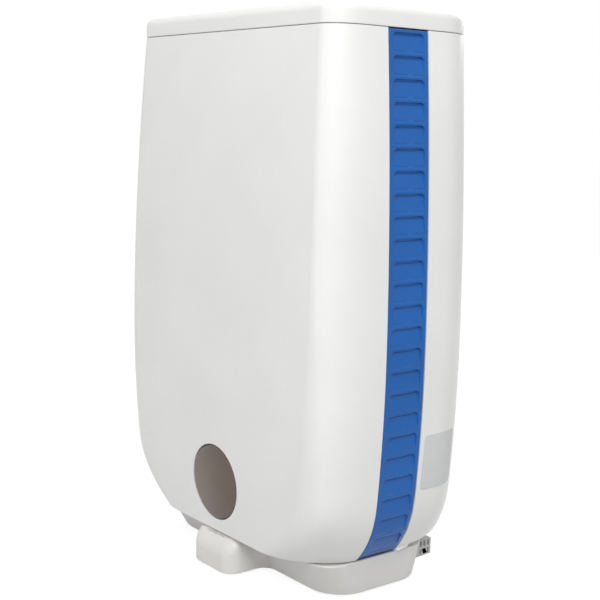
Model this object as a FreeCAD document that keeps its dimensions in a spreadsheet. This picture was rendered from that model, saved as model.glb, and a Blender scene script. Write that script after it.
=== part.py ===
import FreeCAD, Part
import math
import os
import re
import Sketcher
from FreeCAD import Rotation, Vector

# Floor-standing desiccant dehumidifier, in millimetres.
# The origin is the middle of the footprint on the floor, +Z is up, the front faces -Y
# and the right-hand side of the casing is +X.

# Driving dimensions: (name, value, meaning)

SIZES = [
    # outer form of the casing
    ("height_total", 480.0, "floor to the top of the cover"),
    ("lid_height", 17.0, "height of the top cover"),
    ("seam_gap", 0.5, "gap between the cover and the shells"),
    ("body_bottom", 34.0, "floor to the underside of the shells"),
    ("wall", 2.4, "wall of the moulded shells"),
    ("width_max", 307.8, "width of the casing where it is widest"),
    ("width_top", 285.4, "width of the casing at the cover seam"),
    ("widest_height", 206.0, "height of the widest level"),
    ("top_bow", 1.8, "power of the taper above the widest level"),
    ("foot_taper", 11.0, "gentle draw-in of each side at the foot"),
    ("foot_round_depth", 17.0, "rounding-in of each side at the foot"),
    ("foot_round_height", 60.0, "height over which the foot rounds in"),
    ("front_reach", 87.0, "middle plane to the front face at its fullest"),
    ("front_top_lean", 8.2, "how far the front leans back at the seam"),
    ("front_foot_lean", 5.5, "how far the front draws back at the foot"),
    ("rear_reach", 84.0, "middle plane to the rear face"),
    ("rear_radius", 50.0, "radius of the rear corners"),
    ("crease_inset", 21.0, "crease to side face, seen from above"),
    ("crease_top_narrowing", 3.6, "how much the crease inset narrows at the top"),
    ("crease_foot_growth", 28.0, "how much the crease inset grows at the foot"),
    ("bevel_start_pull", 21.5, "tangent length of the bevel at the crease"),
    ("bevel_start_angle", 20.0, "degrees that the surface turns at the crease"),
    ("bevel_end_pull", 25.6, "tangent length of the bevel at the side"),
    ("rear_lift", 16.0, "rise of the underside from the strip to the rear"),
    ("cover_edge", 6.5, "rounding of the top cover's edge"),
    # side strips with their louvres
    ("strip_front", -27.2, "front edge of the side strips"),
    ("strip_width", 42.7, "width of the side strips"),
    ("strip_wall", 3.2, "thickness of the side strips"),
    ("strip_gap_front", 0.4, "gap in front of a strip"),
    ("strip_gap_rear", 0.9, "gap behind a strip"),
    ("strip_gap_foot", 2.2, "gap below a strip"),
    ("strip_travel", 25.0, "how far a strip pulls off"),
    ("louvre_count", 24, "louvres in each strip"),
    ("louvre_pitch", 17.6, "height from louvre to louvre"),
    ("louvre_top_margin", 3.2, "cover seam to the first louvre lip"),
    ("louvre_width", 33.0, "width of one louvre"),
    ("louvre_height", 14.6, "height of one louvre"),
    ("louvre_depth", 2.3, "depth of a louvre at its lip"),
    ("louvre_corner", 4.0, "corner radius of a louvre"),
    ("louvre_slot", 1.3, "height of the air slot under the lip"),
    # side air filters behind the strips
    ("filter_inner", 129.0, "middle plane to the inside of a filter"),
    ("filter_thickness", 6.0, "thickness of a filter frame"),
    ("filter_width", 36.0, "front to back width of a filter"),
    ("filter_low", 64.0, "height of the filter's lower end"),
    ("filter_high", 450.0, "height of the filter's upper end"),
    ("filter_bar", 3.0, "width of a filter's frame bars"),
    ("filter_slats", 11, "cross bars in a filter"),
    ("mesh_thickness", 0.8, "thickness of the filter cloth"),
    ("peg_radius", 1.4, "pegs that hold a filter to its strip"),
    ("peg_bite", 0.4, "how far a peg reaches into its strip"),
    # base
    ("pad_height", 2.0, "height of the rubber pads"),
    ("pad_radius", 10.0, "radius of the rubber pads"),
    ("base_side", 122.0, "middle plane to the side of the base"),
    ("base_front", 47.0, "middle plane to the front of the base"),
    ("base_rear", 58.0, "middle plane to the rear of the base"),
    ("base_corner", 30.0, "corner radius of the base"),
    ("base_flare", 15.0, "how much further forward the base's top reaches"),
    ("base_side_flare", 2.0, "how much wider the base is at its top"),
    ("base_wall", 3.0, "wall of the base"),
    ("tongue_half", 30.0, "half width of the front foot"),
    ("tongue_reach", 89.0, "middle plane to the tip of the front foot"),
    ("tongue_corner", 13.0, "corner radius of the front foot"),
    ("tongue_root", 11.0, "hollow radius beside the front foot"),
    ("tongue_slope", 11.0, "fall of the front foot's top"),
    # tank window
    ("window_radius", 33.0, "radius of the tank window"),
    ("window_height", 78.0, "height of the window's middle"),
    ("window_gap", 0.35, "gap around the window"),
    # water tank and its bay
    ("tank_half", 94.0, "half width of the tank"),
    ("tank_front", -76.0, "front face of the tank"),
    ("tank_bottom", 52.0, "height of the tank's underside"),
    ("tank_height", 74.0, "height of the tank's body"),
    ("tank_wall", 2.0, "wall of the tank"),
    ("tank_lid_height", 8.0, "height of the tank's lid"),
    ("tank_lid_plate", 2.2, "thickness of the tank's lid"),
    ("tank_travel", 140.0, "how far the tank pulls out"),
    ("panel_margin", 2.0, "how far the tank's rear panel overlaps its sides"),
    ("panel_gap", 0.6, "gap around the tank's rear panel"),
    ("grip_half", 36.0, "half width of the finger grip in the tank"),
    ("grip_low", 92.0, "height of the grip's lower edge"),
    ("grip_height", 24.0, "height of the finger grip"),
    ("grip_depth", 16.0, "depth of the finger grip"),
    ("inlet_radius", 12.0, "hole in the tank's lid for the drips"),
    ("drip_y", -44.0, "where the water drips into the tank"),
    ("bay_play", 1.0, "play between the tank and its bay"),
    ("bay_wall", 2.5, "walls of the tank bay"),
    ("shelf_height", 142.0, "height of the shelf over the tank"),
    ("shelf_thickness", 3.0, "thickness of that shelf"),
    ("switch_x", 70.0, "middle of the level switch"),
    ("switch_y", -54.0, "middle of the level switch, front to back"),
    ("switch_width", 20.0, "width of the level switch"),
    ("switch_depth", 12.0, "front to back size of the level switch"),
    ("switch_height", 5.5, "height of the level switch"),
    ("lever_width", 4.0, "width of the level switch's lever"),
    # float
    ("float_x", -60.0, "middle of the float"),
    ("float_width", 24.0, "width of the float"),
    ("float_depth", 22.0, "front to back size of the float"),
    ("float_height", 16.0, "height of the float"),
    ("float_pivot_y", -57.0, "pivot of the float arm"),
    ("float_pivot_drop", 10.0, "tank lid to the float's pivot"),
    ("float_arm", 46.0, "pivot to the middle of the float"),
    ("pin_radius", 1.5, "radius of the small pivot pins"),
    ("pin_play", 0.06, "play of the small pivot pins"),
    # chassis plate and rotor
    ("plate_front", 0.0, "front face of the chassis plate"),
    ("plate_thickness", 3.0, "thickness of the chassis plate"),
    ("plate_half", 124.0, "half width of the chassis plate"),
    ("chassis_gap", 0.3, "gap between the chassis and the shells"),
    ("plate_top", 455.0, "height of the chassis plate's top edge"),
    ("rotor_height", 300.0, "height of the rotor's axle"),
    ("rotor_radius", 90.7, "radius over the rotor's toothed rim"),
    ("rotor_rim", 6.6, "thickness of the rotor's rim"),
    ("rotor_thickness", 22.0, "front to back size of the rotor"),
    ("rotor_standoff", 9.0, "chassis plate to the rotor"),
    ("rotor_teeth", 72, "teeth around the rotor"),
    ("pinion_teeth", 8, "teeth of the drive pinion"),
    ("tooth_depth", 1.6, "depth of the grooves between teeth"),
    ("mesh_gap", 0.4, "gap between the pinion and the rim"),
    ("plate_hub", 8.2, "radius of the chassis plate's hub around the axle"),
    ("rotor_hub", 12.0, "radius of the rotor's hub"),
    ("spoke_width", 7.0, "width of the rotor's spokes"),
    ("spoke_thickness", 2.0, "thickness of the rotor's spokes"),
    ("core_gap", 0.1, "gap around the desiccant core"),
    ("axle_radius", 5.0, "radius of the rotor's axle"),
    ("running_play", 0.05, "radial play of shafts in their bores"),
    ("pinion_angle", 225.0, "where the drive pinion sits around the rotor"),
    ("drive_motor_radius", 24.0, "radius of the rotor's drive motor"),
    ("air_hole", 80.0, "radius of the air passage in the chassis plate"),
    # heater sector
    ("sector_start", 15.0, "angle where the heater sector starts"),
    ("sector_sweep", 60.0, "angle of the heater sector"),
    ("sector_inner", 16.0, "inner radius of the heater sector"),
    ("sector_outer", 88.0, "outer radius of the heater sector"),
    ("sector_depth", 12.0, "front to back size of the heater box"),
    ("sector_wall", 1.5, "wall of the heater box"),
    ("sector_gap", 1.0, "gap between the heater box and the rotor"),
    ("heater_rod", 2.0, "radius of a heater rod"),
    ("heater_rods", 3, "heater rods"),
    ("post_radius", 3.5, "radius of the heater box's posts"),
    ("post_reach", 98.0, "axle to the heater box's posts"),
    # condenser
    ("condenser_half", 88.0, "half width of the condenser"),
    ("condenser_low", 205.0, "height of the condenser's lower edge"),
    ("condenser_high", 392.0, "height of the condenser's upper edge"),
    ("condenser_front", -72.0, "front face of the condenser"),
    ("condenser_depth", 20.0, "front to back size of the condenser"),
    ("header_height", 12.0, "height of the condenser's headers"),
    ("tube_count", 12, "tubes of the condenser"),
    ("tube_width", 9.0, "width of a condenser tube"),
    ("ear_reach", 110.0, "middle plane to the condenser's posts"),
    ("ear_radius", 4.0, "radius of the condenser's posts"),
    # regeneration blower
    ("blower_x", 42.0, "middle of the regeneration blower"),
    ("blower_height", 424.0, "height of the regeneration blower"),
    ("blower_radius", 27.0, "radius of the blower's casing"),
    ("blower_depth", 26.0, "front to back size of the blower's casing"),
    ("blower_wheel", 22.0, "radius of the blower's wheel"),
    ("blower_blades", 16, "blades of the blower's wheel"),
    ("blower_motor", 16.0, "radius of the blower's motor"),
    ("blower_motor_depth", 14.0, "length of the blower's motor"),
    ("blower_shaft", 2.0, "radius of the blower's shaft"),
    ("chute_half", 12.0, "half width of the blower's outlet"),
    # process fan
    ("scroll_half", 78.0, "half width of the fan casing"),
    ("scroll_depth", 53.0, "front to back size of the fan casing"),
    ("scroll_top", 452.0, "height of the fan casing's open top"),
    ("scroll_wall", 2.5, "wall of the fan casing"),
    ("scroll_inlet", 48.0, "radius of the fan's inlet"),
    ("wheel_radius", 60.0, "radius of the fan's wheel"),
    ("wheel_depth", 38.0, "front to back size of the fan's wheel"),
    ("wheel_plate", 2.5, "thickness of the wheel's back plate"),
    ("wheel_blades", 28, "blades of the fan's wheel"),
    ("blade_length", 14.0, "radial length of a blade"),
    ("blade_thickness", 1.2, "thickness of a blade"),
    ("fan_motor_radius", 27.0, "radius of the fan's motor"),
    ("fan_motor_depth", 22.0, "length of the fan's motor"),
    ("fan_shaft", 3.0, "radius of the fan's shaft"),
    # power board
    ("board_left", -40.0, "left end of the power board"),
    ("board_right", 84.0, "right end of the power board"),
    ("board_standoff", 9.0, "chassis plate to the power board's face"),
    ("board_post", 3.0, "radius of the power board's posts"),
    ("transformer_width", 30.0, "width of the transformer"),
    ("transformer_depth", 34.0, "chassis plate to the transformer's face"),
    ("capacitors", 3, "capacitors on the power board"),
    ("capacitor_radius", 6.0, "radius of a capacitor"),
    ("capacitor_reach", 28.0, "chassis plate to a capacitor's end"),
    # top cover, outlet and flap
    ("outlet_half", 76.0, "half width of the air outlet"),
    ("outlet_front", 9.0, "front edge of the air outlet"),
    ("outlet_rear", 56.4, "rear edge of the air outlet"),
    ("guard_wall", 1.6, "wall of the outlet frame"),
    ("guard_gap", 0.35, "gap around the outlet frame"),
    ("guard_bars", 13, "bars of the outlet frame"),
    ("guard_bar_width", 2.0, "width of an outlet bar"),
    ("flap_thickness", 2.4, "thickness of the flap"),
    ("flap_gap", 0.5, "gap around the flap"),
    ("flap_axis_back", 3.4, "outlet's rear edge to the flap's axis"),
    ("flap_sink", 0.6, "how far the flap lies below the cover's top"),
    ("flap_opening", 80.0, "degrees that the flap opens"),
    ("flap_motor_length", 18.0, "length of the flap's motor"),
    ("flap_motor_size", 14.0, "height and depth of the flap's motor"),
    # control panel
    ("panel_half", 98.0, "half width of the control panel"),
    ("panel_front", -70.0, "front edge of the control panel"),
    ("panel_rear", -18.0, "rear edge of the control panel"),
    ("tray_gap", 0.3, "gap around the control tray"),
    ("tray_wall", 1.6, "wall of the control tray"),
    ("tray_floor", 2.5, "floor thickness of the control tray"),
    ("tray_rim_sink", 1.4, "cover's top down to the tray's rim"),
    ("tray_depth", 7.5, "cover's top down to the tray's floor"),
    ("button_count", 4, "push buttons"),
    ("button_first", -78.0, "first button"),
    ("button_pitch", 24.0, "button to button"),
    ("button_y", -44.0, "row of the buttons and the dial"),
    ("button_radius", 8.0, "radius of a button"),
    ("button_rise", 2.9, "how far a button stands above the tray"),
    ("button_travel", 0.9, "how far a button goes down"),
    ("button_play", 0.3, "gap around a button"),
    ("flange_width", 1.5, "flange that keeps a button in"),
    ("flange_height", 2.6, "height of that flange"),
    ("stem_radius", 2.0, "stem under a button"),
    ("board_drop", 12.0, "tray floor's top down to the board"),
    ("board_thickness", 1.6, "thickness of the circuit boards"),
    ("lens_radius", 2.0, "radius of an indicator lens"),
    ("lens_offset", 13.0, "row of buttons to the row of lenses"),
    ("dial_x", 62.0, "middle of the humidity dial"),
    ("dial_radius", 17.0, "radius of the humidity dial"),
    ("dial_height", 6.3, "height of the humidity dial"),
    ("dial_shaft", 3.0, "radius of the dial's shaft"),
    ("dial_ribs", 36, "grip grooves around the dial"),
    ("dial_turn", 270.0, "degrees that the dial turns"),
    # rear fittings
    ("carry_half", 46.0, "half width of the carrying recess"),
    ("carry_low", 424.0, "height of the carrying recess's lower edge"),
    ("carry_height", 26.0, "height of the carrying recess"),
    ("carry_depth", 20.0, "depth of the carrying recess"),
    ("spigot_x", 75.0, "middle of the drain spigot"),
    ("spigot_height", 156.0, "height of the drain spigot"),
    ("spigot_radius", 6.0, "outer radius of the drain spigot"),
    ("spigot_bore", 4.0, "bore radius of the drain spigot"),
    ("spigot_proud", 2.8, "how far the spigot stands out of the shell"),
    ("cap_wall", 1.8, "wall of the drain cap"),
    ("cap_gap", 0.4, "gap between the cap and the spigot"),
    ("cap_travel", 10.0, "how far the drain cap pulls off"),
    ("gland_x", 106.0, "middle of the cord gland"),
    ("gland_height", 22.5, "height of the cord gland"),
    ("gland_size", 16.0, "height and width of the cord gland"),
    ("gland_length", 27.0, "length of the cord gland"),
    ("gland_tip", 71.0, "rear end of the cord gland"),
    ("gland_bore", 4.2, "bore radius of the cord gland"),
    ("gland_slot", 2.6, "length of the gland's slots"),
    ("gland_slots", 3, "slots along the gland"),
    ("gland_slot_depth", 2.4, "depth of the gland's slots"),
    ("label_front", 20.0, "front edge of the blank plate"),
    ("label_width", 38.0, "width of the blank plate"),
    ("label_low", 92.0, "lower edge of the blank plate"),
    ("label_height", 47.0, "height of the blank plate"),
    ("label_thickness", 0.4, "thickness of the blank plate"),
    ("label_gap", 0.1, "gap between the blank plate and the shell"),
    # fasteners
    ("screw_head", 4.0, "radius of a screw's head"),
    ("screw_head_height", 1.8, "height of a screw's head"),
    ("screw_shank", 1.5, "radius of a screw's shank"),
    ("screw_length", 14.0, "length of a screw's shank"),
    ("screw_play", 0.06, "play of a screw in its boss"),
    ("boss_radius", 5.0, "radius of the screw bosses"),
    ("rear_screw_x", 90.0, "middle plane to the rear screws"),
    ("rear_screw_low", 186.0, "height of the lower rear screws"),
    ("rear_screw_high", 430.0, "height of the upper rear screws"),
    ("base_screw_x", 60.0, "middle plane to the base screws"),
    ("base_screw_y", -6.0, "row of the base screws"),
]

doc = FreeCAD.newDocument("Dehumidifier")
sheet = doc.addObject("Spreadsheet::Sheet", "Sizes")
for row, (alias, value, meaning) in enumerate(SIZES, start=1):
    sheet.set("A%d" % row, meaning)
    sheet.set("B%d" % row, str(value))
    sheet.setAlias("B%d" % row, alias)
doc.recompute()

ALIASES = {alias for alias, value, meaning in SIZES}


class Values:
    """The sheet's cells as plain numbers, for the shapes made in code."""

    def __getattr__(self, alias):
        return float(sheet.get(alias))


S = Values()
NODES = []
AXIS_TURN = {
    "x": Rotation(Vector(0, 1, 0), 90),
    "y": Rotation(Vector(1, 0, 0), -90),
    "z": Rotation(),
}
PLANE_ROLE = {"x": "YZ_Plane", "y": "XZ_Plane", "z": "XY_Plane"}


def on_sheet(text):
    """Write an expression's size names as references to the sheet."""
    return re.sub(r"[a-z]+(?:_[a-z]+)*", lambda m: "Sizes." + m[0] if m[0] in ALIASES else m[0], text)


def bind(thing, path, text):
    thing.setExpression(path, on_sheet(text))


def node(label, thing):
    """Name a finished sub-part and keep it for writing."""
    thing.Label = label
    NODES.append((label, thing))
    return thing


def less(low, high):
    return "(%s) - (%s)" % (high, low)


# Primitives and booleans, with every size and place bound to the sheet


def block(low, high):
    """A box between two opposite corners."""
    made = doc.addObject("Part::Box", "Block")
    for side, path, start, end in zip(("Length", "Width", "Height"), "xyz", low, high):
        bind(made, side, less(start, end))
        bind(made, "Placement.Base." + path, start)
    return made


def rod(axis, radius, centre, low, high):
    """A cylinder along an axis, from low to high, centred in the other two directions."""
    made = doc.addObject("Part::Cylinder", "Rod")
    made.Placement = FreeCAD.Placement(Vector(), AXIS_TURN[axis])
    others = [path for path in "xyz" if path != axis]
    bind(made, "Radius", radius)
    bind(made, "Height", less(low, high))
    bind(made, "Placement.Base." + axis, low)
    for path, place in zip(others, centre):
        bind(made, "Placement.Base." + path, place)
    return made


def sector(radius, low, high, start="sector_start", sweep="sector_sweep"):
    """A slice of a cylinder around the rotor's axle, between two planes."""
    made = doc.addObject("Part::Cylinder", "Sector")
    turn = Rotation(Vector(1, 0, 0), -90)
    bind(made, "Radius", radius)
    bind(made, "Height", less(low, high))
    bind(made, "Angle", sweep)
    first = S.sector_start + S.sector_sweep
    made.Placement = FreeCAD.Placement(Vector(), turn * Rotation(Vector(0, 0, 1), -first))
    bind(made, "Placement.Base.y", low)
    bind(made, "Placement.Base.z", "rotor_height")
    return made


def join(*pieces):
    made = doc.addObject("Part::MultiFuse", "Join")
    made.Shapes = list(pieces)
    return made


def cut(base, *tools):
    made = doc.addObject("Part::Cut", "Cut")
    made.Base = base
    made.Tool = tools[0] if len(tools) == 1 else join(*tools)
    return made


def common(first, second):
    made = doc.addObject("Part::Common", "Common")
    made.Base = first
    made.Tool = second
    return made


def group(*pieces):
    made = doc.addObject("Part::Compound", "Group")
    made.Links = list(pieces)
    return made


def mirrored(piece):
    """The same piece on the other side of the middle plane."""
    made = doc.addObject("Part::Mirroring", "Mirror")
    made.Source = piece
    made.Base = Vector()
    made.Normal = Vector(1, 0, 0)
    return made


def shaped(shape):
    made = doc.addObject("Part::Feature", "Shaped")
    made.Shape = shape
    return made


# Bodies made from sketches


def plane_of(body, role):
    return [feature for feature in body.Origin.OriginFeatures if feature.Role == role][0]


def new_body():
    return doc.addObject("PartDesign::Body", "Body")


def new_sketch(body, axis, offset="0"):
    made = body.newObject("Sketcher::SketchObject", "Sketch")
    made.AttachmentSupport = [(plane_of(body, PLANE_ROLE[axis]), "")]
    made.MapMode = "FlatFace"
    bind(made, "AttachmentOffset.Base.z", offset)
    return made


def hold(sketch, kind, geometry, point, text):
    index = sketch.addConstraint(Sketcher.Constraint(kind, -1, 1, geometry, point, 1.0))
    bind(sketch, "Constraints[%d]" % index, text)


def draw_outline(sketch, corners):
    """A closed outline of straight lines through corners given as pairs of expressions."""
    count = len(corners)
    first = sketch.GeometryCount
    turn = 2 * math.pi / count
    spots = [Vector(math.cos(i * turn), math.sin(i * turn), 0) for i in range(count)]
    for i in range(count):
        sketch.addGeometry(Part.LineSegment(spots[i], spots[(i + 1) % count]))
    for i in range(count):
        following = first + (i + 1) % count
        sketch.addConstraint(Sketcher.Constraint("Coincident", first + i, 2, following, 1))
    for i, (across, along) in enumerate(corners):
        hold(sketch, "DistanceX", first + i, 1, across)
        hold(sketch, "DistanceY", first + i, 1, along)


def draw_circle(sketch, radius, across="0", along="0"):
    index = sketch.addGeometry(Part.Circle(Vector(1, 1, 0), Vector(0, 0, 1), 1.0))
    hold(sketch, "DistanceX", index, 3, across)
    hold(sketch, "DistanceY", index, 3, along)
    limit = sketch.addConstraint(Sketcher.Constraint("Radius", index, 1.0))
    bind(sketch, "Constraints[%d]" % limit, radius)


def pad(body, sketch, length):
    made = body.newObject("PartDesign::Pad", "Pad")
    made.Profile = sketch
    bind(made, "Length", length)
    body.Tip = made
    return made


def pocket(body, sketch, length):
    made = body.newObject("PartDesign::Pocket", "Pocket")
    made.Profile = sketch
    bind(made, "Length", length)
    body.Tip = made
    return made


def around(body, feature, sketch, count):
    """Repeat a feature around its sketch's normal."""
    made = body.newObject("PartDesign::PolarPattern", "Around")
    made.Originals = [feature]
    made.Axis = (sketch, ["N_Axis"])
    made.Angle = 360
    bind(made, "Occurrences", count)
    body.Tip = made
    return made


def turned(axis, place, corners):
    """A turned piece: corners are pairs of radius and height along the axis."""
    body = new_body()
    sketch = new_sketch(body, "y")
    draw_outline(sketch, corners)
    made = body.newObject("PartDesign::Revolution", "Turning")
    made.Profile = sketch
    made.ReferenceAxis = (sketch, ["V_Axis"])
    made.Angle = 360
    body.Tip = made
    stand(body, axis, place)
    return body


def stand(body, axis, place):
    body.Placement = FreeCAD.Placement(Vector(), AXIS_TURN[axis])
    for path, text in zip("xyz", place):
        bind(body, "Placement.Base." + path, text)


# The casing's outer form, as level outlines joined by a loft


def half_width(z):
    """Half the casing's width at a height."""
    widest = S.widest_height
    seam = S.height_total - S.lid_height
    half = S.width_max / 2
    if z >= widest:
        rise = (z - widest) / (seam - widest)
        return half - (S.width_max - S.width_top) / 2 * rise ** S.top_bow
    fall = (widest - z) / (widest - S.body_bottom)
    low = max(0.0, (S.body_bottom + S.foot_round_height - z) / S.foot_round_height)
    return half - S.foot_taper * fall ** 2 - S.foot_round_depth * low ** 2.7


def front_at(z):
    """Where the front face lies at a height."""
    widest = S.widest_height
    seam = S.height_total - S.lid_height
    if z >= widest:
        return -S.front_reach + S.front_top_lean * ((z - widest) / (seam - widest)) ** 2
    return -S.front_reach + S.front_foot_lean * ((widest - z) / (widest - S.body_bottom)) ** 2


def crease_at(z):
    """How far the crease lies inside the side face at a height."""
    widest = S.widest_height
    seam = S.height_total - S.lid_height
    inset = S.crease_inset
    if z >= widest:
        return inset - S.crease_top_narrowing * ((z - widest) / (seam - widest)) ** 2
    low = max(0.0, (S.body_bottom + S.foot_round_height - z) / S.foot_round_height)
    return inset + S.crease_foot_growth * low ** 2


def bezier(points):
    curve = Part.BezierCurve()
    curve.setPoles(points)
    return curve.toShape()


def outline_at(z, inset=0.0):
    """The closed outline of the casing at a height, drawn in by a wall."""
    side = half_width(z) - inset
    front = front_at(z) + inset
    rear = S.rear_reach - inset
    radius = S.rear_radius - inset
    crease = half_width(z) - crease_at(z) - inset * 0.45
    bend = math.radians(S.bevel_start_angle)
    pull = S.bevel_start_pull
    run = Vector(math.cos(bend) * pull, math.sin(bend) * pull, 0)
    edges = []
    poles = {}
    for way in (1, -1):
        start = Vector(way * crease, front, z)
        end = Vector(way * side, S.strip_front, z)
        near = start + Vector(way * run.x, run.y, 0)
        far = end - Vector(0, S.bevel_end_pull, 0)
        poles[way] = (start, near, far, end)
    knee = radius * math.sqrt(0.5)
    corner = rear - radius
    edges.append(Part.LineSegment(poles[-1][0], poles[1][0]).toShape())
    edges.append(bezier(list(poles[1])))
    edges.append(Part.LineSegment(poles[1][3], Vector(side, corner, z)).toShape())
    edges.append(Part.Arc(
        Vector(side, corner, z),
        Vector(side - radius + knee, corner + knee, z),
        Vector(side - radius, rear, z),
    ).toShape())
    edges.append(Part.LineSegment(
        Vector(side - radius, rear, z), Vector(radius - side, rear, z)).toShape())
    edges.append(Part.Arc(
        Vector(radius - side, rear, z),
        Vector(radius - side - knee, corner + knee, z),
        Vector(-side, corner, z),
    ).toShape())
    edges.append(Part.LineSegment(Vector(-side, corner, z), poles[-1][3]).toShape())
    edges.append(bezier(list(reversed(poles[-1]))))
    return Part.Wire(edges)


def levels(low, high):
    """Heights of the outlines: close together at the foot, where the form turns in fast."""
    foot = S.foot_round_height
    span = high - low
    steps = [low + foot * share for share in (0.0, 0.17, 0.37, 0.62, 0.95)]
    rest = [low + foot + (span - foot) * share for share in (0.09, 0.2, 0.35, 0.52, 0.7, 0.86, 1.0)]
    return steps + rest


def casing(low, high, inset):
    return Part.makeLoft([outline_at(z, inset) for z in levels(low, high)], True, False)


def slab(low, high):
    """A plain box in code, between two corners."""
    size = Vector(*high) - Vector(*low)
    return Part.makeBox(size.x, size.y, size.z, Vector(*low))


SEAM = S.height_total - S.lid_height
FAR = 400.0
STRIP_REAR = S.strip_front + S.strip_width
OUTER = casing(S.body_bottom, SEAM, 0.0)
INNER = casing(S.body_bottom - 4, SEAM + 4, S.wall)
STRIP_INNER = casing(S.body_bottom - 4, SEAM + 4, S.strip_wall)


def rising_floor(height):
    """All that lies above the underside, which rises towards the rear."""
    slope = S.rear_lift / (S.rear_reach - STRIP_REAR)
    far_rise = height + slope * FAR
    profile = Part.makePolygon([
        Vector(-FAR, -FAR, height),
        Vector(-FAR, STRIP_REAR, height),
        Vector(-FAR, STRIP_REAR + FAR, far_rise),
        Vector(-FAR, STRIP_REAR + FAR, 2 * FAR),
        Vector(-FAR, -FAR, 2 * FAR),
        Vector(-FAR, -FAR, height),
    ])
    return Part.Face(profile).extrude(Vector(2 * FAR, 0, 0))


BODY = OUTER.common(rising_floor(S.body_bottom))
CAVITY = INNER.common(rising_floor(S.body_bottom + S.wall))
SHELL = BODY.cut(CAVITY)
WINDOW_HOLE = Part.makeCylinder(
    S.window_radius + S.window_gap, FAR, Vector(0, -FAR, S.window_height), Vector(0, 1, 0))
WINDOW_PLUG = Part.makeCylinder(
    S.window_radius, FAR, Vector(0, -FAR, S.window_height), Vector(0, 1, 0))

# Front shell with its round hole for the window

front_part = SHELL.common(slab((-FAR, -FAR, 0), (FAR, S.strip_front, SEAM)))
node("front_shell", shaped(front_part.cut(WINDOW_HOLE)))
node("tank_window", shaped(front_part.common(WINDOW_PLUG)))

# Rear shell with the openings for the tank, the carrying recess, the spigot and the screws

panel_half = S.tank_half + S.panel_margin
panel_low = S.tank_bottom
panel_high = S.tank_bottom + S.tank_height + S.tank_lid_height
tank_mouth = slab(
    (-panel_half - S.panel_gap, 0, panel_low - S.panel_gap),
    (panel_half + S.panel_gap, FAR, panel_high + S.panel_gap))
carry_mouth = slab(
    (-S.carry_half, 0, S.carry_low), (S.carry_half, FAR, S.carry_low + S.carry_height))
spigot_hole = Part.makeCylinder(
    S.spigot_radius + S.cap_gap, FAR, Vector(S.spigot_x, 0, S.spigot_height), Vector(0, 1, 0))
rear_part = SHELL.common(slab((-FAR, STRIP_REAR, 0), (FAR, FAR, SEAM)))
rear_shell = rear_part.cut([tank_mouth, carry_mouth, spigot_hole])
for side in (-1, 1):
    for height in (S.rear_screw_low, S.rear_screw_high):
        spot = Vector(side * S.rear_screw_x, 0, height)
        clear = S.screw_shank + 0.3
        rear_shell = rear_shell.cut(Part.makeCylinder(clear, FAR, spot, Vector(0, 1, 0)))
node("rear_shell", shaped(rear_shell))

# Blank plate on the right-hand rear corner

plate_outside = casing(S.body_bottom, SEAM, -S.label_gap - S.label_thickness)
plate_form = plate_outside.cut(casing(S.body_bottom - 4, SEAM + 4, -S.label_gap))
label_outline = slab(
    (0, S.label_front, S.label_low),
    (FAR, S.label_front + S.label_width, S.label_low + S.label_height))
label_outline = label_outline.makeFillet(3.0, [
    edge for edge in label_outline.Edges
    if abs(edge.tangentAt(edge.FirstParameter).x) > 0.9])
node("blank_plate", shaped(plate_form.common(label_outline)))

# Side strips: a band of the casing with a column of louvres, each deepest under its lip


def louvre(index):
    """The recess of one louvre and its air slot, on the right-hand strip."""
    lip = SEAM - S.louvre_top_margin - index * S.louvre_pitch
    foot = lip - S.louvre_height
    middle = S.strip_front + S.strip_width / 2
    near, far = middle - S.louvre_width / 2, middle + S.louvre_width / 2
    edge_top, edge_low = half_width(lip), half_width(foot)
    wedge = Part.Face(Part.makePolygon([
        Vector(edge_top - S.louvre_depth, near, lip),
        Vector(edge_top + 6, near, lip),
        Vector(edge_low + 6, near, foot),
        Vector(edge_low, near, foot),
        Vector(edge_top - S.louvre_depth, near, lip),
    ])).extrude(Vector(0, far - near, 0))
    block_low = min(edge_top, edge_low) - 2 * S.strip_wall
    column = slab((block_low, near, foot - 1), (edge_top + edge_low, far, lip))
    column = column.makeFillet(S.louvre_corner, [
        edge for edge in column.Edges
        if abs(edge.tangentAt(edge.FirstParameter).x) > 0.9 and edge.CenterOfMass.z > lip - 0.1])
    slot = slab(
        (edge_top - 3 * S.strip_wall, near + S.louvre_corner, lip - S.louvre_slot),
        (edge_top + 2, far - S.louvre_corner, lip))
    return wedge.common(column).fuse(slot)


strip = BODY.cut(STRIP_INNER).common(slab(
    (0, S.strip_front + S.strip_gap_front, S.body_bottom + S.strip_gap_foot),
    (FAR, STRIP_REAR - S.strip_gap_rear, SEAM - S.seam_gap)))
strip = strip.cut([louvre(i) for i in range(int(S.louvre_count))])
filter_outer = S.filter_inner + S.filter_thickness
strip_middle = S.strip_front + S.strip_width / 2
filter_span = S.filter_high - S.filter_low
for height in (S.filter_low + 0.15 * filter_span, S.filter_high - 0.15 * filter_span):
    reach = half_width(height) - S.strip_wall + S.peg_bite - filter_outer
    for side in (-1, 1):
        row = strip_middle + side * (S.filter_width - S.filter_bar) / 2
        strip = strip.fuse(Part.makeCylinder(
            S.peg_radius, reach, Vector(filter_outer, row, height), Vector(1, 0, 0)))
right_strip = node("side_strip_right", shaped(strip))
node("side_strip_left", mirrored(right_strip))

# Air filters behind the strips: a barred frame with a fine cloth in its middle

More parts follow.
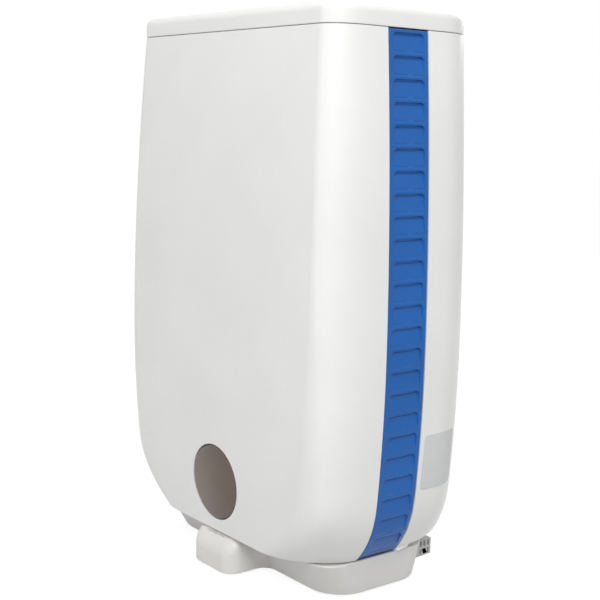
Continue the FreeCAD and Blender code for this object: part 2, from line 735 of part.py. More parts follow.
filter_near = "(strip_front + strip_width / 2 - filter_width / 2)"
filter_far = "(strip_front + strip_width / 2 + filter_width / 2)"
frame_outer = block(
    ("filter_inner", filter_near, "filter_low"),
    ("filter_inner + filter_thickness", filter_far, "filter_high"))
frame_hole = block(
    ("filter_inner - 1", filter_near + " + filter_bar", "filter_low + filter_bar"),
    ("filter_inner + filter_thickness + 1", filter_far + " - filter_bar", "filter_high - filter_bar"))
frame_bars = []
for i in range(1, int(S.filter_slats) + 1):
    bar_low = "filter_low + %d * (filter_high - filter_low) / (filter_slats + 1)" % i
    frame_bars.append(block(
        ("filter_inner", filter_near, bar_low + " - filter_bar / 2"),
        ("filter_inner + filter_thickness / 3", filter_far, bar_low + " + filter_bar / 2")))
right_frame = node("filter_frame_right", join(cut(frame_outer, frame_hole), *frame_bars))
node("filter_frame_left", mirrored(right_frame))
mesh_start = "(filter_inner + filter_thickness / 3 + 0.3)"
right_mesh = node("filter_mesh_right", block(
    (mesh_start, filter_near + " + filter_bar + 0.3", "filter_low + filter_bar + 0.3"),
    (mesh_start + " + mesh_thickness", filter_far + " - filter_bar - 0.3",
     "filter_high - filter_bar - 0.3")))
node("filter_mesh_left", mirrored(right_mesh))

# Base: a wide hollow bar with rounded corners and a broad foot reaching forward


def rounded_outline(corners, z):
    """A closed level outline: corners are (x, y, radius), arcs join the straight sides."""
    count = len(corners)
    starts, ends, middles = [], [], []
    for i, (x, y, radius) in enumerate(corners):
        here = Vector(x, y, z)
        before = Vector(*corners[i - 1][:2], z) - here
        after = Vector(*corners[(i + 1) % count][:2], z) - here
        before.normalize()
        after.normalize()
        half_turn = before.getAngle(after) / 2
        reach = radius / math.tan(half_turn)
        towards = before + after
        towards.normalize()
        starts.append(here + before * reach)
        ends.append(here + after * reach)
        middles.append(here + towards * (radius / math.sin(half_turn) - radius))
    edges = []
    for i in range(count):
        edges.append(Part.Arc(starts[i], middles[i], ends[i]).toShape())
        edges.append(Part.LineSegment(ends[i], starts[(i + 1) % count]).toShape())
    return Part.Wire(edges)


def base_outline(z, front, side, rear, inset=0.0):
    half = S.tongue_half - inset
    reach = S.tongue_reach - inset
    corner = S.base_corner - inset
    right = [
        (half, -reach, S.tongue_corner - inset),
        (half, -front + inset, S.tongue_root + inset),
        (side - inset, -front + inset, corner),
        (side - inset, rear - inset, corner),
    ]
    left = [(-x, y, radius) for x, y, radius in reversed(right)]
    return rounded_outline(right + left, z)


def base_solid(low, high, inset):
    bottom = base_outline(low, S.base_front, S.base_side, S.base_rear, inset)
    top = base_outline(
        high, S.base_front + S.base_flare, S.base_side + S.base_side_flare, S.base_rear, inset)
    return Part.makeLoft([bottom, top], True, True)


base = base_solid(S.pad_height, S.body_bottom, 0.0)
hollow = base_solid(S.pad_height - 1, S.body_bottom - S.base_wall, S.base_wall)
slope_start = -front_at(S.body_bottom)
tip = S.tongue_reach + 1
fall = S.tongue_slope
tongue_cut = Part.Face(Part.makePolygon([
    Vector(-FAR / 2, -slope_start + 4, S.body_bottom),
    Vector(-FAR / 2, -tip, S.body_bottom - fall),
    Vector(-FAR / 2, -tip, S.body_bottom + 1),
    Vector(-FAR / 2, -slope_start + 4, S.body_bottom + 1),
    Vector(-FAR / 2, -slope_start + 4, S.body_bottom),
])).extrude(Vector(FAR, 0, 0))
base = base.cut(tongue_cut)
hollow = hollow.cut(tongue_cut.translated(Vector(0, 0, -S.base_wall)))
PAD_SPOTS = [
    (S.base_side - S.base_corner, -S.base_front + S.base_corner - 6),
    (S.base_corner - S.base_side, -S.base_front + S.base_corner - 6),
    (S.base_side - S.base_corner, S.base_rear - S.base_corner + 6),
    (S.base_corner - S.base_side, S.base_rear - S.base_corner + 6),
    (0.0, -S.tongue_reach + S.tongue_corner + 3),
]
bosses = [
    Part.makeCylinder(S.pad_radius, S.body_bottom, Vector(x, y, S.pad_height)).common(base)
    for x, y in PAD_SPOTS]
base = base.cut(hollow).fuse(bosses)
gland_low = S.gland_height - S.gland_size / 2 - 0.3
gland_high = S.gland_height + S.gland_size / 2 + 0.3
base = base.cut(slab(
    (S.gland_x - S.gland_size / 2 - 0.3, 0, gland_low),
    (S.gland_x + S.gland_size / 2 + 0.3, FAR, gland_high)).common(
        slab((0, S.base_rear - S.base_corner - 4, 0), (FAR, FAR, FAR))))
for side in (-1, 1):
    base = base.cut(Part.makeCylinder(
        S.screw_shank + 0.3, FAR, Vector(side * S.base_screw_x, S.base_screw_y, 0)))
node("base", shaped(base.removeSplitter()))

pad_x = "(base_side - base_corner)"
pad_front = "(base_corner - base_front - 6)"
pad_rear = "(base_rear - base_corner + 6)"
pad_tip = "(tongue_corner + 3 - tongue_reach)"
node("rubber_pads", group(*[
    rod("z", "pad_radius", spot, "0", "pad_height")
    for spot in ((pad_x, pad_front), ("-" + pad_x, pad_front), (pad_x, pad_rear),
                 ("-" + pad_x, pad_rear), ("0", pad_tip))]))

# Cord gland in the rear of the base: a square boot with a bore and rows of slots

gland_left, gland_right = "(gland_x - gland_size / 2)", "(gland_x + gland_size / 2)"
gland_under, gland_over = "(gland_height - gland_size / 2)", "(gland_height + gland_size / 2)"
gland = block(
    (gland_left, "gland_tip - gland_length", gland_under), (gland_right, "gland_tip", gland_over))
gland_cuts = [rod(
    "y", "gland_bore", ("gland_x", "gland_height"), "gland_tip - gland_length - 1", "gland_tip + 1")]
for i in range(int(S.gland_slots)):
    slot_start = "gland_tip - %d * 1.8 * gland_slot" % (i + 1)
    slot_end = slot_start + " + gland_slot"
    for low, high in (("0.12", "0.42"), ("0.58", "0.88")):
        slot_under = gland_under + " + gland_size * " + low
        slot_over = gland_under + " + gland_size * " + high
        gland_cuts.append(block(
            (gland_left + " - 1", slot_start, slot_under),
            (gland_left + " + gland_slot_depth", slot_end, slot_over)))
        gland_cuts.append(block(
            (gland_right + " - gland_slot_depth", slot_start, slot_under),
            (gland_right + " + 1", slot_end, slot_over)))
node("cord_gland", cut(gland, *gland_cuts))

# Water tank: an open box with a rear panel of the casing's own form and a finger grip

tank_top = S.tank_bottom + S.tank_height
tank_rear = S.rear_reach - S.wall
tank = slab((-S.tank_half, S.tank_front, S.tank_bottom), (S.tank_half, tank_rear, tank_top))
tank_inside = slab(
    (-S.tank_half + S.tank_wall, S.tank_front + S.tank_wall, S.tank_bottom + S.tank_wall),
    (S.tank_half - S.tank_wall, tank_rear - S.tank_wall, tank_top + 1))
rear_panel = SHELL.common(slab(
    (-panel_half, S.rear_reach - S.rear_radius, panel_low), (panel_half, FAR, panel_high)))
grip_top = S.grip_low + S.grip_height
grip_cup = slab(
    (-S.grip_half - S.tank_wall, tank_rear - S.grip_depth, S.grip_low - S.tank_wall),
    (S.grip_half + S.tank_wall, tank_rear, min(grip_top + S.tank_wall, tank_top)))
grip_space = slab(
    (-S.grip_half, tank_rear - S.grip_depth + S.tank_wall, S.grip_low),
    (S.grip_half, FAR, grip_top))
tank = tank.cut(tank_inside).fuse([rear_panel, grip_cup]).cut(grip_space)
node("water_tank", shaped(tank.removeSplitter()))

# Tank lid with the drip inlet and the two ears of the float

tank_end = "(rear_reach - wall)"
lid_low = "(tank_bottom + tank_height)"
lid_high = "(tank_bottom + tank_height + tank_lid_plate)"
lid_plate = block(
    ("-tank_half", "tank_front", lid_low), ("tank_half", tank_end + " - 0.3", lid_high))
lid_skirt = block(
    ("-tank_half + tank_wall + 0.3", "tank_front + tank_wall + 0.3", lid_low + " - 3"),
    ("tank_half - tank_wall - 0.3", tank_end + " - grip_depth - 0.6", lid_low))
skirt_hole = block(
    ("-tank_half + 2 * tank_wall + 0.3", "tank_front + 2 * tank_wall + 0.3", lid_low + " - 4"),
    ("tank_half - 2 * tank_wall - 0.3", tank_end + " - grip_depth - tank_wall - 0.6", lid_low))
lid_inlet = rod("z", "inlet_radius", ("0", "drip_y"), lid_low + " - 1", lid_high + " + 1")
collar = cut(
    rod("z", "inlet_radius + 2", ("0", "drip_y"), lid_high, lid_low + " + tank_lid_height - 1.5"),
    rod("z", "inlet_radius", ("0", "drip_y"), lid_high + " - 1", lid_high + " + tank_lid_height"))
pivot_z = "(tank_bottom + tank_height - float_pivot_drop)"
ears = []
for side in ("-", "+"):
    ear_middle = "float_x %s (float_width / 2 + 2.5)" % side
    ear = block(
        (ear_middle + " - 1", "float_pivot_y - 4", pivot_z + " - 4"),
        (ear_middle + " + 1", "float_pivot_y + 4", lid_low))
    ears.append(cut(ear, rod(
        "x", "pin_radius + pin_play", ("float_pivot_y", pivot_z),
        ear_middle + " - 2", ear_middle + " + 2")))
node("tank_lid", join(cut(lid_plate, lid_inlet), cut(lid_skirt, skirt_hole), collar, *ears))

# Float: a foam block on an arm with a pin through it

float_low = pivot_z + " - float_arm"
float_block = block(
    ("float_x - float_width / 2", "float_pivot_y - float_depth / 2 + 4", float_low + " - float_height / 2"),
    ("float_x + float_width / 2", "float_pivot_y + float_depth / 2 + 4", float_low + " + float_height / 2"))
float_arm = block(
    ("float_x - 2", "float_pivot_y - 3", float_low),
    ("float_x + 2", "float_pivot_y + 3", pivot_z + " + 3"))
float_pin = rod(
    "x", "pin_radius", ("float_pivot_y", pivot_z),
    "float_x - float_width / 2 - 4", "float_x + float_width / 2 + 4")
node("tank_float", join(float_block, float_arm, float_pin))

# Chassis: tank bay, shelf and the upright plate that carries the works

bay_inner = "(tank_half + panel_margin + bay_play)"
bay_outer = "(tank_half + panel_margin + bay_play + bay_wall)"
floor_low = "(body_bottom + wall + chassis_gap)"
floor_high = "(body_bottom + wall + chassis_gap + bay_wall)"
bay_floor = "(tank_bottom - 0.3)"
bay_front = "tank_front - 2"
bay_rear = "rear_reach - rear_radius + 24"
plate_back = "(plate_front + plate_thickness)"
shelf_top = "(shelf_height + shelf_thickness)"
parts = [
    block(("-" + bay_outer, "front_foot_lean - front_reach + 26", floor_low),
          (bay_outer, "rear_reach - rear_radius + 2", floor_high)),
    block(("-" + bay_outer, bay_front, bay_floor + " - bay_wall"), (bay_outer, bay_rear, bay_floor)),
    block(("-" + bay_outer, bay_front, "shelf_height"), (bay_outer, bay_rear + " + 14", shelf_top)),
    block(("-plate_half", "plate_front", "shelf_height"), ("plate_half", plate_back, "plate_top")),
]
for side in ("-", ""):
    outer, inner = side + bay_outer, side + bay_inner
    left, right = (outer, inner) if side else (inner, outer)
    parts.append(block((left, bay_front + " + 20", floor_low), (right, bay_rear, "shelf_height")))
base_bosses = [
    rod("z", "boss_radius", (side + "base_screw_x", "base_screw_y"), "body_bottom", floor_high)
    for side in ("-", "")]
rear_bosses = [
    rod("y", "boss_radius", (side + "rear_screw_x", height), plate_back, "rear_reach - wall")
    for side in ("-", "") for height in ("rear_screw_low", "rear_screw_high")]
hub_disc = rod("y", "plate_hub", ("0", "rotor_height"), "plate_front", plate_back)
seat = sector("sector_outer", "plate_front", plate_back)
bars = [
    block(("-air_hole - 2", "plate_front", "rotor_height - 4"),
          ("air_hole + 2", plate_back, "rotor_height + 4")),
    block(("-4", "plate_front", "rotor_height - air_hole - 2"),
          ("4", plate_back, "rotor_height + air_hole + 2")),
]
air_passage = rod(
    "y", "air_hole", ("0", "rotor_height"), "plate_front - 1", plate_back + " + 1")
drip_hole = rod("z", "inlet_radius - 4", ("0", "drip_y"), "shelf_height - 1", shelf_top + " + 1")
screw_holes = []
for side in ("-", ""):
    x = side + "base_screw_x"
    screw_holes.append(rod(
        "z", "screw_shank + screw_play", (x, "base_screw_y"),
        "body_bottom - 1", "body_bottom + screw_length"))
    for height in ("rear_screw_low", "rear_screw_high"):
        screw_holes.append(rod(
            "y", "screw_shank + screw_play", (side + "rear_screw_x", height),
            "rear_reach - wall - screw_length", "rear_reach"))
room = casing(S.body_bottom - 4, SEAM + 4, S.wall + S.chassis_gap)
room = shaped(room.common(rising_floor(S.body_bottom + S.wall + S.chassis_gap)))
solid_parts = common(cut(join(*parts), air_passage), room)
chassis = join(solid_parts, hub_disc, seat, *bars, *base_bosses, *rear_bosses)
node("chassis", cut(chassis, drip_hole, *screw_holes))

# Screws: turned heads and shanks, at the rear and under the base

screws = []
for side in ("-", ""):
    for height in ("rear_screw_low", "rear_screw_high"):
        screws.append(join(
            rod("y", "screw_head", (side + "rear_screw_x", height),
                "rear_reach", "rear_reach + screw_head_height"),
            rod("y", "screw_shank", (side + "rear_screw_x", height),
                "rear_reach - screw_length + 1", "rear_reach")))
for side in ("-", ""):
    spot = (side + "base_screw_x", "base_screw_y")
    head_top = "(body_bottom - base_wall)"
    screws.append(join(
        rod("z", "screw_head", spot, head_top + " - screw_head_height", head_top),
        rod("z", "screw_shank", spot, head_top, head_top + " + screw_length - 4")))
node("case_screws", group(*screws))

# Drip tray over the shelf, with its spout through the shelf

tray_low, tray_high = shelf_top, "(shelf_height + shelf_thickness + 15)"
tray_front, tray_rear = "condenser_front - 4", "plate_front - 6"
drip_tray = cut(
    block(("-condenser_half - 4", tray_front, tray_low), ("condenser_half + 4", tray_rear, tray_high)),
    block(("-condenser_half - 2", tray_front + " + 2", tray_low + " + 2"),
          ("condenser_half + 2", tray_rear + " - 2", tray_high + " + 1")))
spout = rod("z", "inlet_radius - 5", ("0", "drip_y"), "shelf_height - 5", tray_low + " + 1")
spout_bore = rod("z", "inlet_radius - 7", ("0", "drip_y"), "shelf_height - 6", tray_low + " + 3")
node("drip_tray", cut(join(drip_tray, spout), spout_bore))

# Level switch under the shelf

switch_low = "(shelf_height - switch_height)"
node("tank_switch", join(
    block(("switch_x - switch_width / 2", "switch_y - switch_depth / 2", switch_low),
          ("switch_x + switch_width / 2", "switch_y + switch_depth / 2", "shelf_height")),
    block(("switch_x - lever_width", "switch_y - lever_width / 2", lid_high + " + 0.5"),
          ("switch_x", "switch_y + lever_width / 2", switch_low))))

# Rotor: toothed rim, hub and spokes around the desiccant core, on a fixed axle

rotor_rear = "(plate_front - rotor_standoff)"
rotor_front = "(plate_front - rotor_standoff - rotor_thickness)"
body = new_body()
stand(body, "y", ("0", rotor_front, "rotor_height"))
rim_sketch = new_sketch(body, "z")
draw_circle(rim_sketch, "rotor_radius")
draw_circle(rim_sketch, "rotor_radius - rotor_rim")
pad(body, rim_sketch, "rotor_thickness")
tooth_sketch = new_sketch(body, "z")
tooth_half = "rotor_radius * 0.9 * pi / rotor_teeth / 2"
draw_outline(tooth_sketch, [
    ("rotor_radius - tooth_depth", "-" + tooth_half), ("rotor_radius + 1", "-" + tooth_half),
    ("rotor_radius + 1", tooth_half), ("rotor_radius - tooth_depth", tooth_half)])
groove = pocket(body, tooth_sketch, "rotor_thickness + 1")
groove.Reversed = True
around(body, groove, tooth_sketch, "rotor_teeth")
hub = cut(
    rod("y", "rotor_hub", ("0", "rotor_height"), rotor_front, rotor_rear),
    rod("y", "axle_radius + running_play", ("0", "rotor_height"),
        rotor_front + " - 1", rotor_rear + " + 1"))
spoke_reach = "(rotor_radius - rotor_rim + 1)"
spokes = [
    block(("-" + spoke_reach, rotor_front, "rotor_height - spoke_width / 2"),
          (spoke_reach, rotor_front + " + spoke_thickness", "rotor_height + spoke_width / 2")),
    block(("-spoke_width / 2", rotor_front, "rotor_height - " + spoke_reach),
          ("spoke_width / 2", rotor_front + " + spoke_thickness", "rotor_height + " + spoke_reach)),
]
spoke_hole = rod(
    "y", "rotor_hub - 1", ("0", "rotor_height"), rotor_front + " - 1", rotor_rear + " + 1")
node("rotor_rim", join(body, hub, cut(join(*spokes), spoke_hole)))
node("desiccant_core", cut(
    rod("y", "rotor_radius - rotor_rim - core_gap", ("0", "rotor_height"),
        rotor_front + " + spoke_thickness", rotor_rear),
    rod("y", "rotor_hub + core_gap", ("0", "rotor_height"), rotor_front, rotor_rear + " + 1")))
node("rotor_axle", turned("y", ("0", "plate_front", "rotor_height"), [
    ("0", "-rotor_standoff - rotor_thickness - 4"),
    ("axle_radius", "-rotor_standoff - rotor_thickness - 4"), ("axle_radius", "-3"),
    ("plate_hub", "-3"), ("plate_hub", "0"), ("0", "0")]))

# Rotor drive: a motor on the chassis plate and a toothed pinion beside the rim

pinion_outer = "((rotor_radius + mesh_gap / 2) * pinion_teeth / rotor_teeth - mesh_gap / 2)"
drive_reach = "(rotor_radius + mesh_gap + %s)" % pinion_outer
drive_x = "(%s * cos(pinion_angle * 1deg))" % drive_reach
drive_z = "(rotor_height + %s * sin(pinion_angle * 1deg))" % drive_reach
body = new_body()
stand(body, "y", (drive_x, rotor_front + " + 1", drive_z))
wheel_sketch = new_sketch(body, "z")
draw_circle(wheel_sketch, pinion_outer)
draw_circle(wheel_sketch, "fan_shaft - 0.5 + running_play")
pad(body, wheel_sketch, "rotor_thickness / 2")
tooth_sketch = new_sketch(body, "z")
draw_outline(tooth_sketch, [
    (pinion_outer + " - tooth_depth", "-1.4"), (pinion_outer + " + 1", "-1.4"),
    (pinion_outer + " + 1", "1.4"), (pinion_outer + " - tooth_depth", "1.4")])
groove = pocket(body, tooth_sketch, "rotor_thickness")
groove.Reversed = True
around(body, groove, tooth_sketch, "pinion_teeth")
node("drive_pinion", body)
node("drive_motor", join(
    rod("y", "drive_motor_radius", (drive_x, drive_z),
        "plate_front - rotor_standoff + 1.5", "plate_front"),
    rod("y", "fan_shaft - 0.5", (drive_x, drive_z), rotor_front + " + 0.5",
        "plate_front - rotor_standoff + 2")))

# Heater box: a hollow sector in front of the rotor with a neck to the blower and two posts

box_rear = "(plate_front - rotor_standoff - rotor_thickness - sector_gap)"
box_front = "(plate_front - rotor_standoff - rotor_thickness - sector_gap - sector_depth)"
heater = cut(
    sector("sector_outer", box_front, box_rear),
    rod("y", "sector_inner", ("0", "rotor_height"), box_front + " - 1", box_rear + " + 1"))
neck_top = "(blower_height - blower_radius - 1.5)"
neck_low = "(rotor_height + 0.72 * sector_outer)"
neck = block(
    ("blower_x - chute_half", box_front, neck_low), ("blower_x + chute_half", box_rear, neck_top))
neck_space = block(
    ("blower_x - chute_half + sector_wall", box_front + " + sector_wall", "rotor_height + 0.5 * sector_outer"),
    ("blower_x + chute_half - sector_wall", box_rear + " - sector_wall", neck_top + " + 1"))
core_space = cut(
    sector("sector_outer - sector_wall", box_front + " + sector_wall", box_rear + " + 1"),
    rod("y", "sector_inner + sector_wall", ("0", "rotor_height"), box_front + " - 1", box_rear + " + 2"))
posts = []
for angle in ("sector_start", "(sector_start + sector_sweep)"):
    for_x = "cos(%s * 1deg)" % angle
    for_z = "sin(%s * 1deg)" % angle
    posts.append(rod(
        "y", "post_radius", ("post_reach * " + for_x, "rotor_height + post_reach * " + for_z),
        box_front, "plate_front"))
    posts.append(rod(
        "y", "post_radius",
        ("(post_reach - 6) * " + for_x, "rotor_height + (post_reach - 6) * " + for_z),
        box_front, box_front + " + 4"))
    posts.append(rod(
        "y", "post_radius",
        ("(post_reach - 12) * " + for_x, "rotor_height + (post_reach - 12) * " + for_z),
        box_front, box_front + " + 1.4"))
node("heater_box", cut(join(heater, neck, *posts), core_space, neck_space))
rods = []
for i in range(int(S.heater_rods)):
    share = (i + 1) / (S.heater_rods + 1)
    angle = S.sector_start + share * S.sector_sweep
    start = S.sector_inner + S.sector_wall + 0.2
    length = S.sector_outer - S.sector_wall - 0.4 - start
    heat_rod = doc.addObject("Part::Cylinder", "HeatRod")
    bind(heat_rod, "Radius", "heater_rod")
    heat_rod.Height = length
    lean = Rotation(Vector(0, 1, 0), 90 - angle)
    way = lean.multVec(Vector(0, 0, 1))
    heat_rod.Placement = FreeCAD.Placement(way * start, lean)
    bind(heat_rod, "Placement.Base.y", box_front + " + sector_depth / 2 + 1")
    heat_rod.setExpression("Placement.Base.z", on_sheet("rotor_height + %.6f" % (way.z * start)))
    rods.append(heat_rod)
node("heater_rods", group(*rods))

# Return duct behind the rotor, under the same sector

duct_front, duct_rear = "(plate_front - rotor_standoff + 1)", "plate_front"
node("return_duct", cut(
    sector("sector_outer", duct_front, duct_rear),
    rod("y", "sector_inner", ("0", "rotor_height"), duct_front + " - 1", duct_rear + " + 1"),
    cut(sector("sector_outer - sector_wall", duct_front + " - 1", duct_rear + " - sector_wall"),
        rod("y", "sector_inner + sector_wall", ("0", "rotor_height"),
            duct_front + " - 2", duct_rear + " + 1"))))

# Condenser: two headers joined by a row of flat tubes, on four posts

tube_low, tube_high = "(condenser_low + header_height)", "(condenser_high - header_height)"
condenser_rear = "(condenser_front + condenser_depth)"
condenser = [
    block(("-condenser_half", "condenser_front", "condenser_low"),
          ("condenser_half", condenser_rear, tube_low)),
    block(("-condenser_half", "condenser_front", tube_high),
          ("condenser_half", condenser_rear, "condenser_high"))]
for i in range(int(S.tube_count)):
    tube_x = "(-condenser_half + (%d + 0.5) * 2 * condenser_half / tube_count)" % i
    condenser.append(block(
        (tube_x + " - tube_width / 2", "condenser_front + 2", tube_low),
        (tube_x + " + tube_width / 2", condenser_rear + " - 2", tube_high)))
post_middle = "(condenser_front + condenser_depth / 2)"
for side in ("-", ""):
    for height in ("(condenser_low + header_height / 2)", "(condenser_high - header_height / 2)"):
        inner, outer = side + "(condenser_half - 1)", side + "ear_reach"
        left, right = (outer, inner) if side else (inner, outer)
        condenser.append(block(
            (left, post_middle + " - 2", height + " - 4"),
            (right, post_middle + " + 2", height + " + 4")))
        condenser.append(rod(
            "y", "ear_radius", (side + "ear_reach", height), post_middle + " - 2", "plate_front"))
node("condenser", join(*condenser))

# Regeneration blower: motor on the plate, wheel, casing with an inlet and a chute

motor_front = "(plate_front - blower_motor_depth)"
case_rear = motor_front
case_front = "(plate_front - blower_motor_depth - blower_depth)"
case = join(
    rod("y", "blower_radius", ("blower_x", "blower_height"), case_front, case_rear),
    block(("blower_x - chute_half", case_front, neck_top + " + 0.4"),
          ("blower_x + chute_half", case_rear, "blower_height")))
case_space = join(
    rod("y", "blower_radius - sector_wall", ("blower_x", "blower_height"),
        case_front + " + sector_wall", case_rear + " - sector_wall"),
    block(("blower_x - chute_half + sector_wall", case_front + " + sector_wall", neck_top),
          ("blower_x + chute_half - sector_wall", case_rear + " - sector_wall", "blower_height")),
    rod("y", "blower_wheel * 0.65", ("blower_x", "blower_height"),
        case_front + " - 1", case_front + " + 3"),
    rod("y", "blower_shaft + 0.5", ("blower_x", "blower_height"), case_rear + " - 3", case_rear + " + 1"))
node("blower_case", cut(case, case_space))
node("blower_motor", join(
    rod("y", "blower_motor", ("blower_x", "blower_height"), motor_front, "plate_front"),
    rod("y", "blower_shaft", ("blower_x", "blower_height"),
        case_front + " + 4", motor_front + " + 1")))


def fan_wheel(centre, rear, depth, radius, shaft, blades, length):
    """A wheel whose blades stand forward from a back plate and run around a fixed shaft."""
    wheel = new_body()
    stand(wheel, "y", (centre[0], "%s - (%s)" % (rear, depth), centre[1]))
    plate_sketch = new_sketch(wheel, "z", "(%s) - wheel_plate" % depth)
    draw_circle(plate_sketch, radius)
    draw_circle(plate_sketch, shaft + " + running_play")
    pad(wheel, plate_sketch, "wheel_plate")
    hub_sketch = new_sketch(wheel, "z", "(%s) * 0.3" % depth)
    draw_circle(hub_sketch, shaft + " + 4")
    draw_circle(hub_sketch, shaft + " + running_play")
    pad(wheel, hub_sketch, "(%s) * 0.7" % depth)
    blade_sketch = new_sketch(wheel, "z")
    inner, outer = "(%s - %s)" % (radius, length), "(%s - 0.3)" % radius
    draw_outline(blade_sketch, [
        (inner, "0"), (inner, "blade_thickness"),
        (outer, "blade_thickness + %s * 0.3" % length), (outer, "%s * 0.3" % length)])
    blade = pad(wheel, blade_sketch, "(%s) - wheel_plate / 2" % depth)
    around(wheel, blade, blade_sketch, blades)
    return wheel


node("blower_wheel", fan_wheel(
    ("blower_x", "blower_height"), case_rear + " - sector_wall - 2",
    "(blower_depth - 2 * sector_wall - 5)", "blower_wheel", "blower_shaft", "blower_blades", "7"))

# Process fan behind the plate: casing open at the top, wheel and motor

scroll_front = plate_back
scroll_rear = "(plate_front + plate_thickness + scroll_depth)"
scroll = join(
    rod("y", "scroll_half", ("0", "rotor_height"), scroll_front, scroll_rear),
    block(("-scroll_half", scroll_front, "rotor_height"), ("scroll_half", scroll_rear, "scroll_top")))
scroll_space = join(
    rod("y", "scroll_half - scroll_wall", ("0", "rotor_height"),
        scroll_front + " + scroll_wall", scroll_rear + " - scroll_wall"),
    block(("-scroll_half + scroll_wall", scroll_front + " + scroll_wall", "rotor_height"),
          ("scroll_half - scroll_wall", scroll_rear + " - scroll_wall", "scroll_top + 1")),
    rod("y", "scroll_inlet", ("0", "rotor_height"), scroll_front + " - 1", scroll_front + " + 5"),
    rod("y", "fan_shaft + 1", ("0", "rotor_height"), scroll_rear + " - 5", scroll_rear + " + 1"))
node("fan_casing", cut(scroll, scroll_space))
node("fan_motor", join(
    rod("y", "fan_motor_radius", ("0", "rotor_height"), scroll_rear, scroll_rear + " + fan_motor_depth"),
    rod("y", "fan_shaft", ("0", "rotor_height"), scroll_front + " + 8", scroll_rear + " + 1")))
node("fan_wheel", fan_wheel(
    ("0", "rotor_height"), scroll_rear + " - scroll_wall - 3", "wheel_depth",
    "wheel_radius", "fan_shaft", "wheel_blades", "blade_length"))

# Power board on the chassis plate under the rotor: board, two posts, transformer, capacitors

board_low, board_high = "(shelf_height + 24)", "(rotor_height - rotor_radius - 9)"
board_middle = "((%s + %s) / 2)" % (board_low, board_high)
board_face = "(plate_front - board_standoff)"
board_back = "(plate_front - board_standoff + board_thickness)"
board = [block(("board_left", board_face, board_low), ("board_right", board_back, board_high))]
for x in ("board_left + board_post + 2", "board_right - board_post - 2"):
    board.append(rod("y", "board_post", (x, board_middle), board_back, "plate_front"))
board.append(block(
    ("board_left + 20", "plate_front - transformer_depth", board_low + " + 4"),
    ("board_left + 20 + transformer_width", board_face, board_high + " - 4")))
for i in range(int(S.capacitors)):
    board.append(rod(
        "y", "capacitor_radius", ("board_right - (%d + 1) * 3 * capacitor_radius" % i, board_middle),
        "plate_front - capacitor_reach", board_face))
node("power_board", join(*board))

# Top cover: the casing's outline carried up to a rounded edge, with its two openings


def cover_solid(inset, low, high):
    seam_outline = outline_at(SEAM, inset)
    bottom = seam_outline.translated(Vector(0, 0, low - SEAM))
    top = seam_outline.translated(Vector(0, 0, high - SEAM))
    return Part.makeLoft([bottom, top], True, True)


cover = cover_solid(0.0, SEAM + S.seam_gap, S.height_total)
top_edges = [edge for edge in cover.Edges if edge.BoundBox.ZMin > S.height_total - 0.01]
cover = cover.makeFillet(S.cover_edge, top_edges)
cover = cover.cut(cover_solid(S.wall, SEAM - 1, S.height_total - S.wall))
cover = cover.cut([
    slab((-S.outlet_half, S.outlet_front, SEAM), (S.outlet_half, S.outlet_rear, FAR * 2)),
    slab((-S.panel_half, S.panel_front, SEAM), (S.panel_half, S.panel_rear, FAR * 2))])
node("top_cover", shaped(cover))

# Outlet frame with its bars, and the flap on two pins

frame_left, frame_right = "(-outlet_half + guard_gap)", "(outlet_half - guard_gap)"
frame_near, frame_far = "(outlet_front + guard_gap)", "(outlet_rear - guard_gap)"
frame_low, frame_high = "(scroll_top + 0.4)", "(height_total - flap_sink)"
frame = cut(
    block((frame_left, frame_near, frame_low), (frame_right, frame_far, frame_high)),
    block((frame_left + " + guard_wall", frame_near + " + guard_wall", frame_low + " - 1"),
          (frame_right + " - guard_wall", frame_far + " - guard_wall", frame_high + " + 1")))
axis_y = "(outlet_rear - flap_axis_back)"
axis_z = "(height_total - flap_sink - flap_thickness)"
guard = []
for i in range(int(S.guard_bars)):
    x = "(%s + (%d + 1) * (%s - %s) / (guard_bars + 1))" % (frame_left, i, frame_right, frame_left)
    guard.append(block(
        (x + " - guard_bar_width / 2", frame_near + " + 1", frame_low),
        (x + " + guard_bar_width / 2", frame_far + " - 1", frame_low + " + 5")))
pin_hole = rod("x", "pin_radius + pin_play", (axis_y, axis_z), frame_left + " - 1", frame_right + " + 1")
flap_rear_room = block(
    (frame_left + " + guard_wall", frame_far + " - guard_wall - 1", axis_z + " - 4"),
    (frame_right + " - guard_wall", frame_far + " + 1", frame_high + " + 1"))
node("outlet_frame", cut(join(frame, *guard), pin_hole, flap_rear_room))
flap_left, flap_right = "(%s + guard_wall + flap_gap)" % frame_left, "(%s - guard_wall - flap_gap)" % frame_right
flap_near = "(%s + guard_wall + flap_gap)" % frame_near
flap_plate = block(
    (flap_left, flap_near, axis_z), (flap_right, axis_y, "height_total - flap_sink"))
flap_root = rod("x", "flap_thickness / 2 + 0.9", (axis_y, axis_z), flap_left, flap_right)
flap_pin = rod("x", "pin_radius", (axis_y, axis_z), frame_left, frame_right)
flap_ribs = []
for i in range(4):
    x = "(%s + (%d + 1) * (%s - %s) / 5)" % (flap_left, i, flap_right, flap_left)
    flap_ribs.append(block(
        (x + " - 0.8", flap_near + " + 6", axis_z + " - 3"), (x + " + 0.8", axis_y, axis_z)))
node("outlet_flap", join(flap_plate, flap_root, flap_pin, *flap_ribs))
motor_left = "(outlet_half - guard_gap + 0.05)"
node("flap_motor", join(
    block((motor_left, axis_y + " - flap_motor_size / 2", axis_z + " - flap_motor_size / 2 - 2"),
          (motor_left + " + flap_motor_length", axis_y + " + flap_motor_size / 2", "height_total - wall - 0.3")),
    block((motor_left + " + flap_motor_length - 1", axis_y + " - 3", axis_z + " - flap_motor_size / 2"),
          (motor_left + " + flap_motor_length + 4", axis_y + " + 3", axis_z + " - 1"))))

# Control tray with buttons, lenses, the dial and the board below

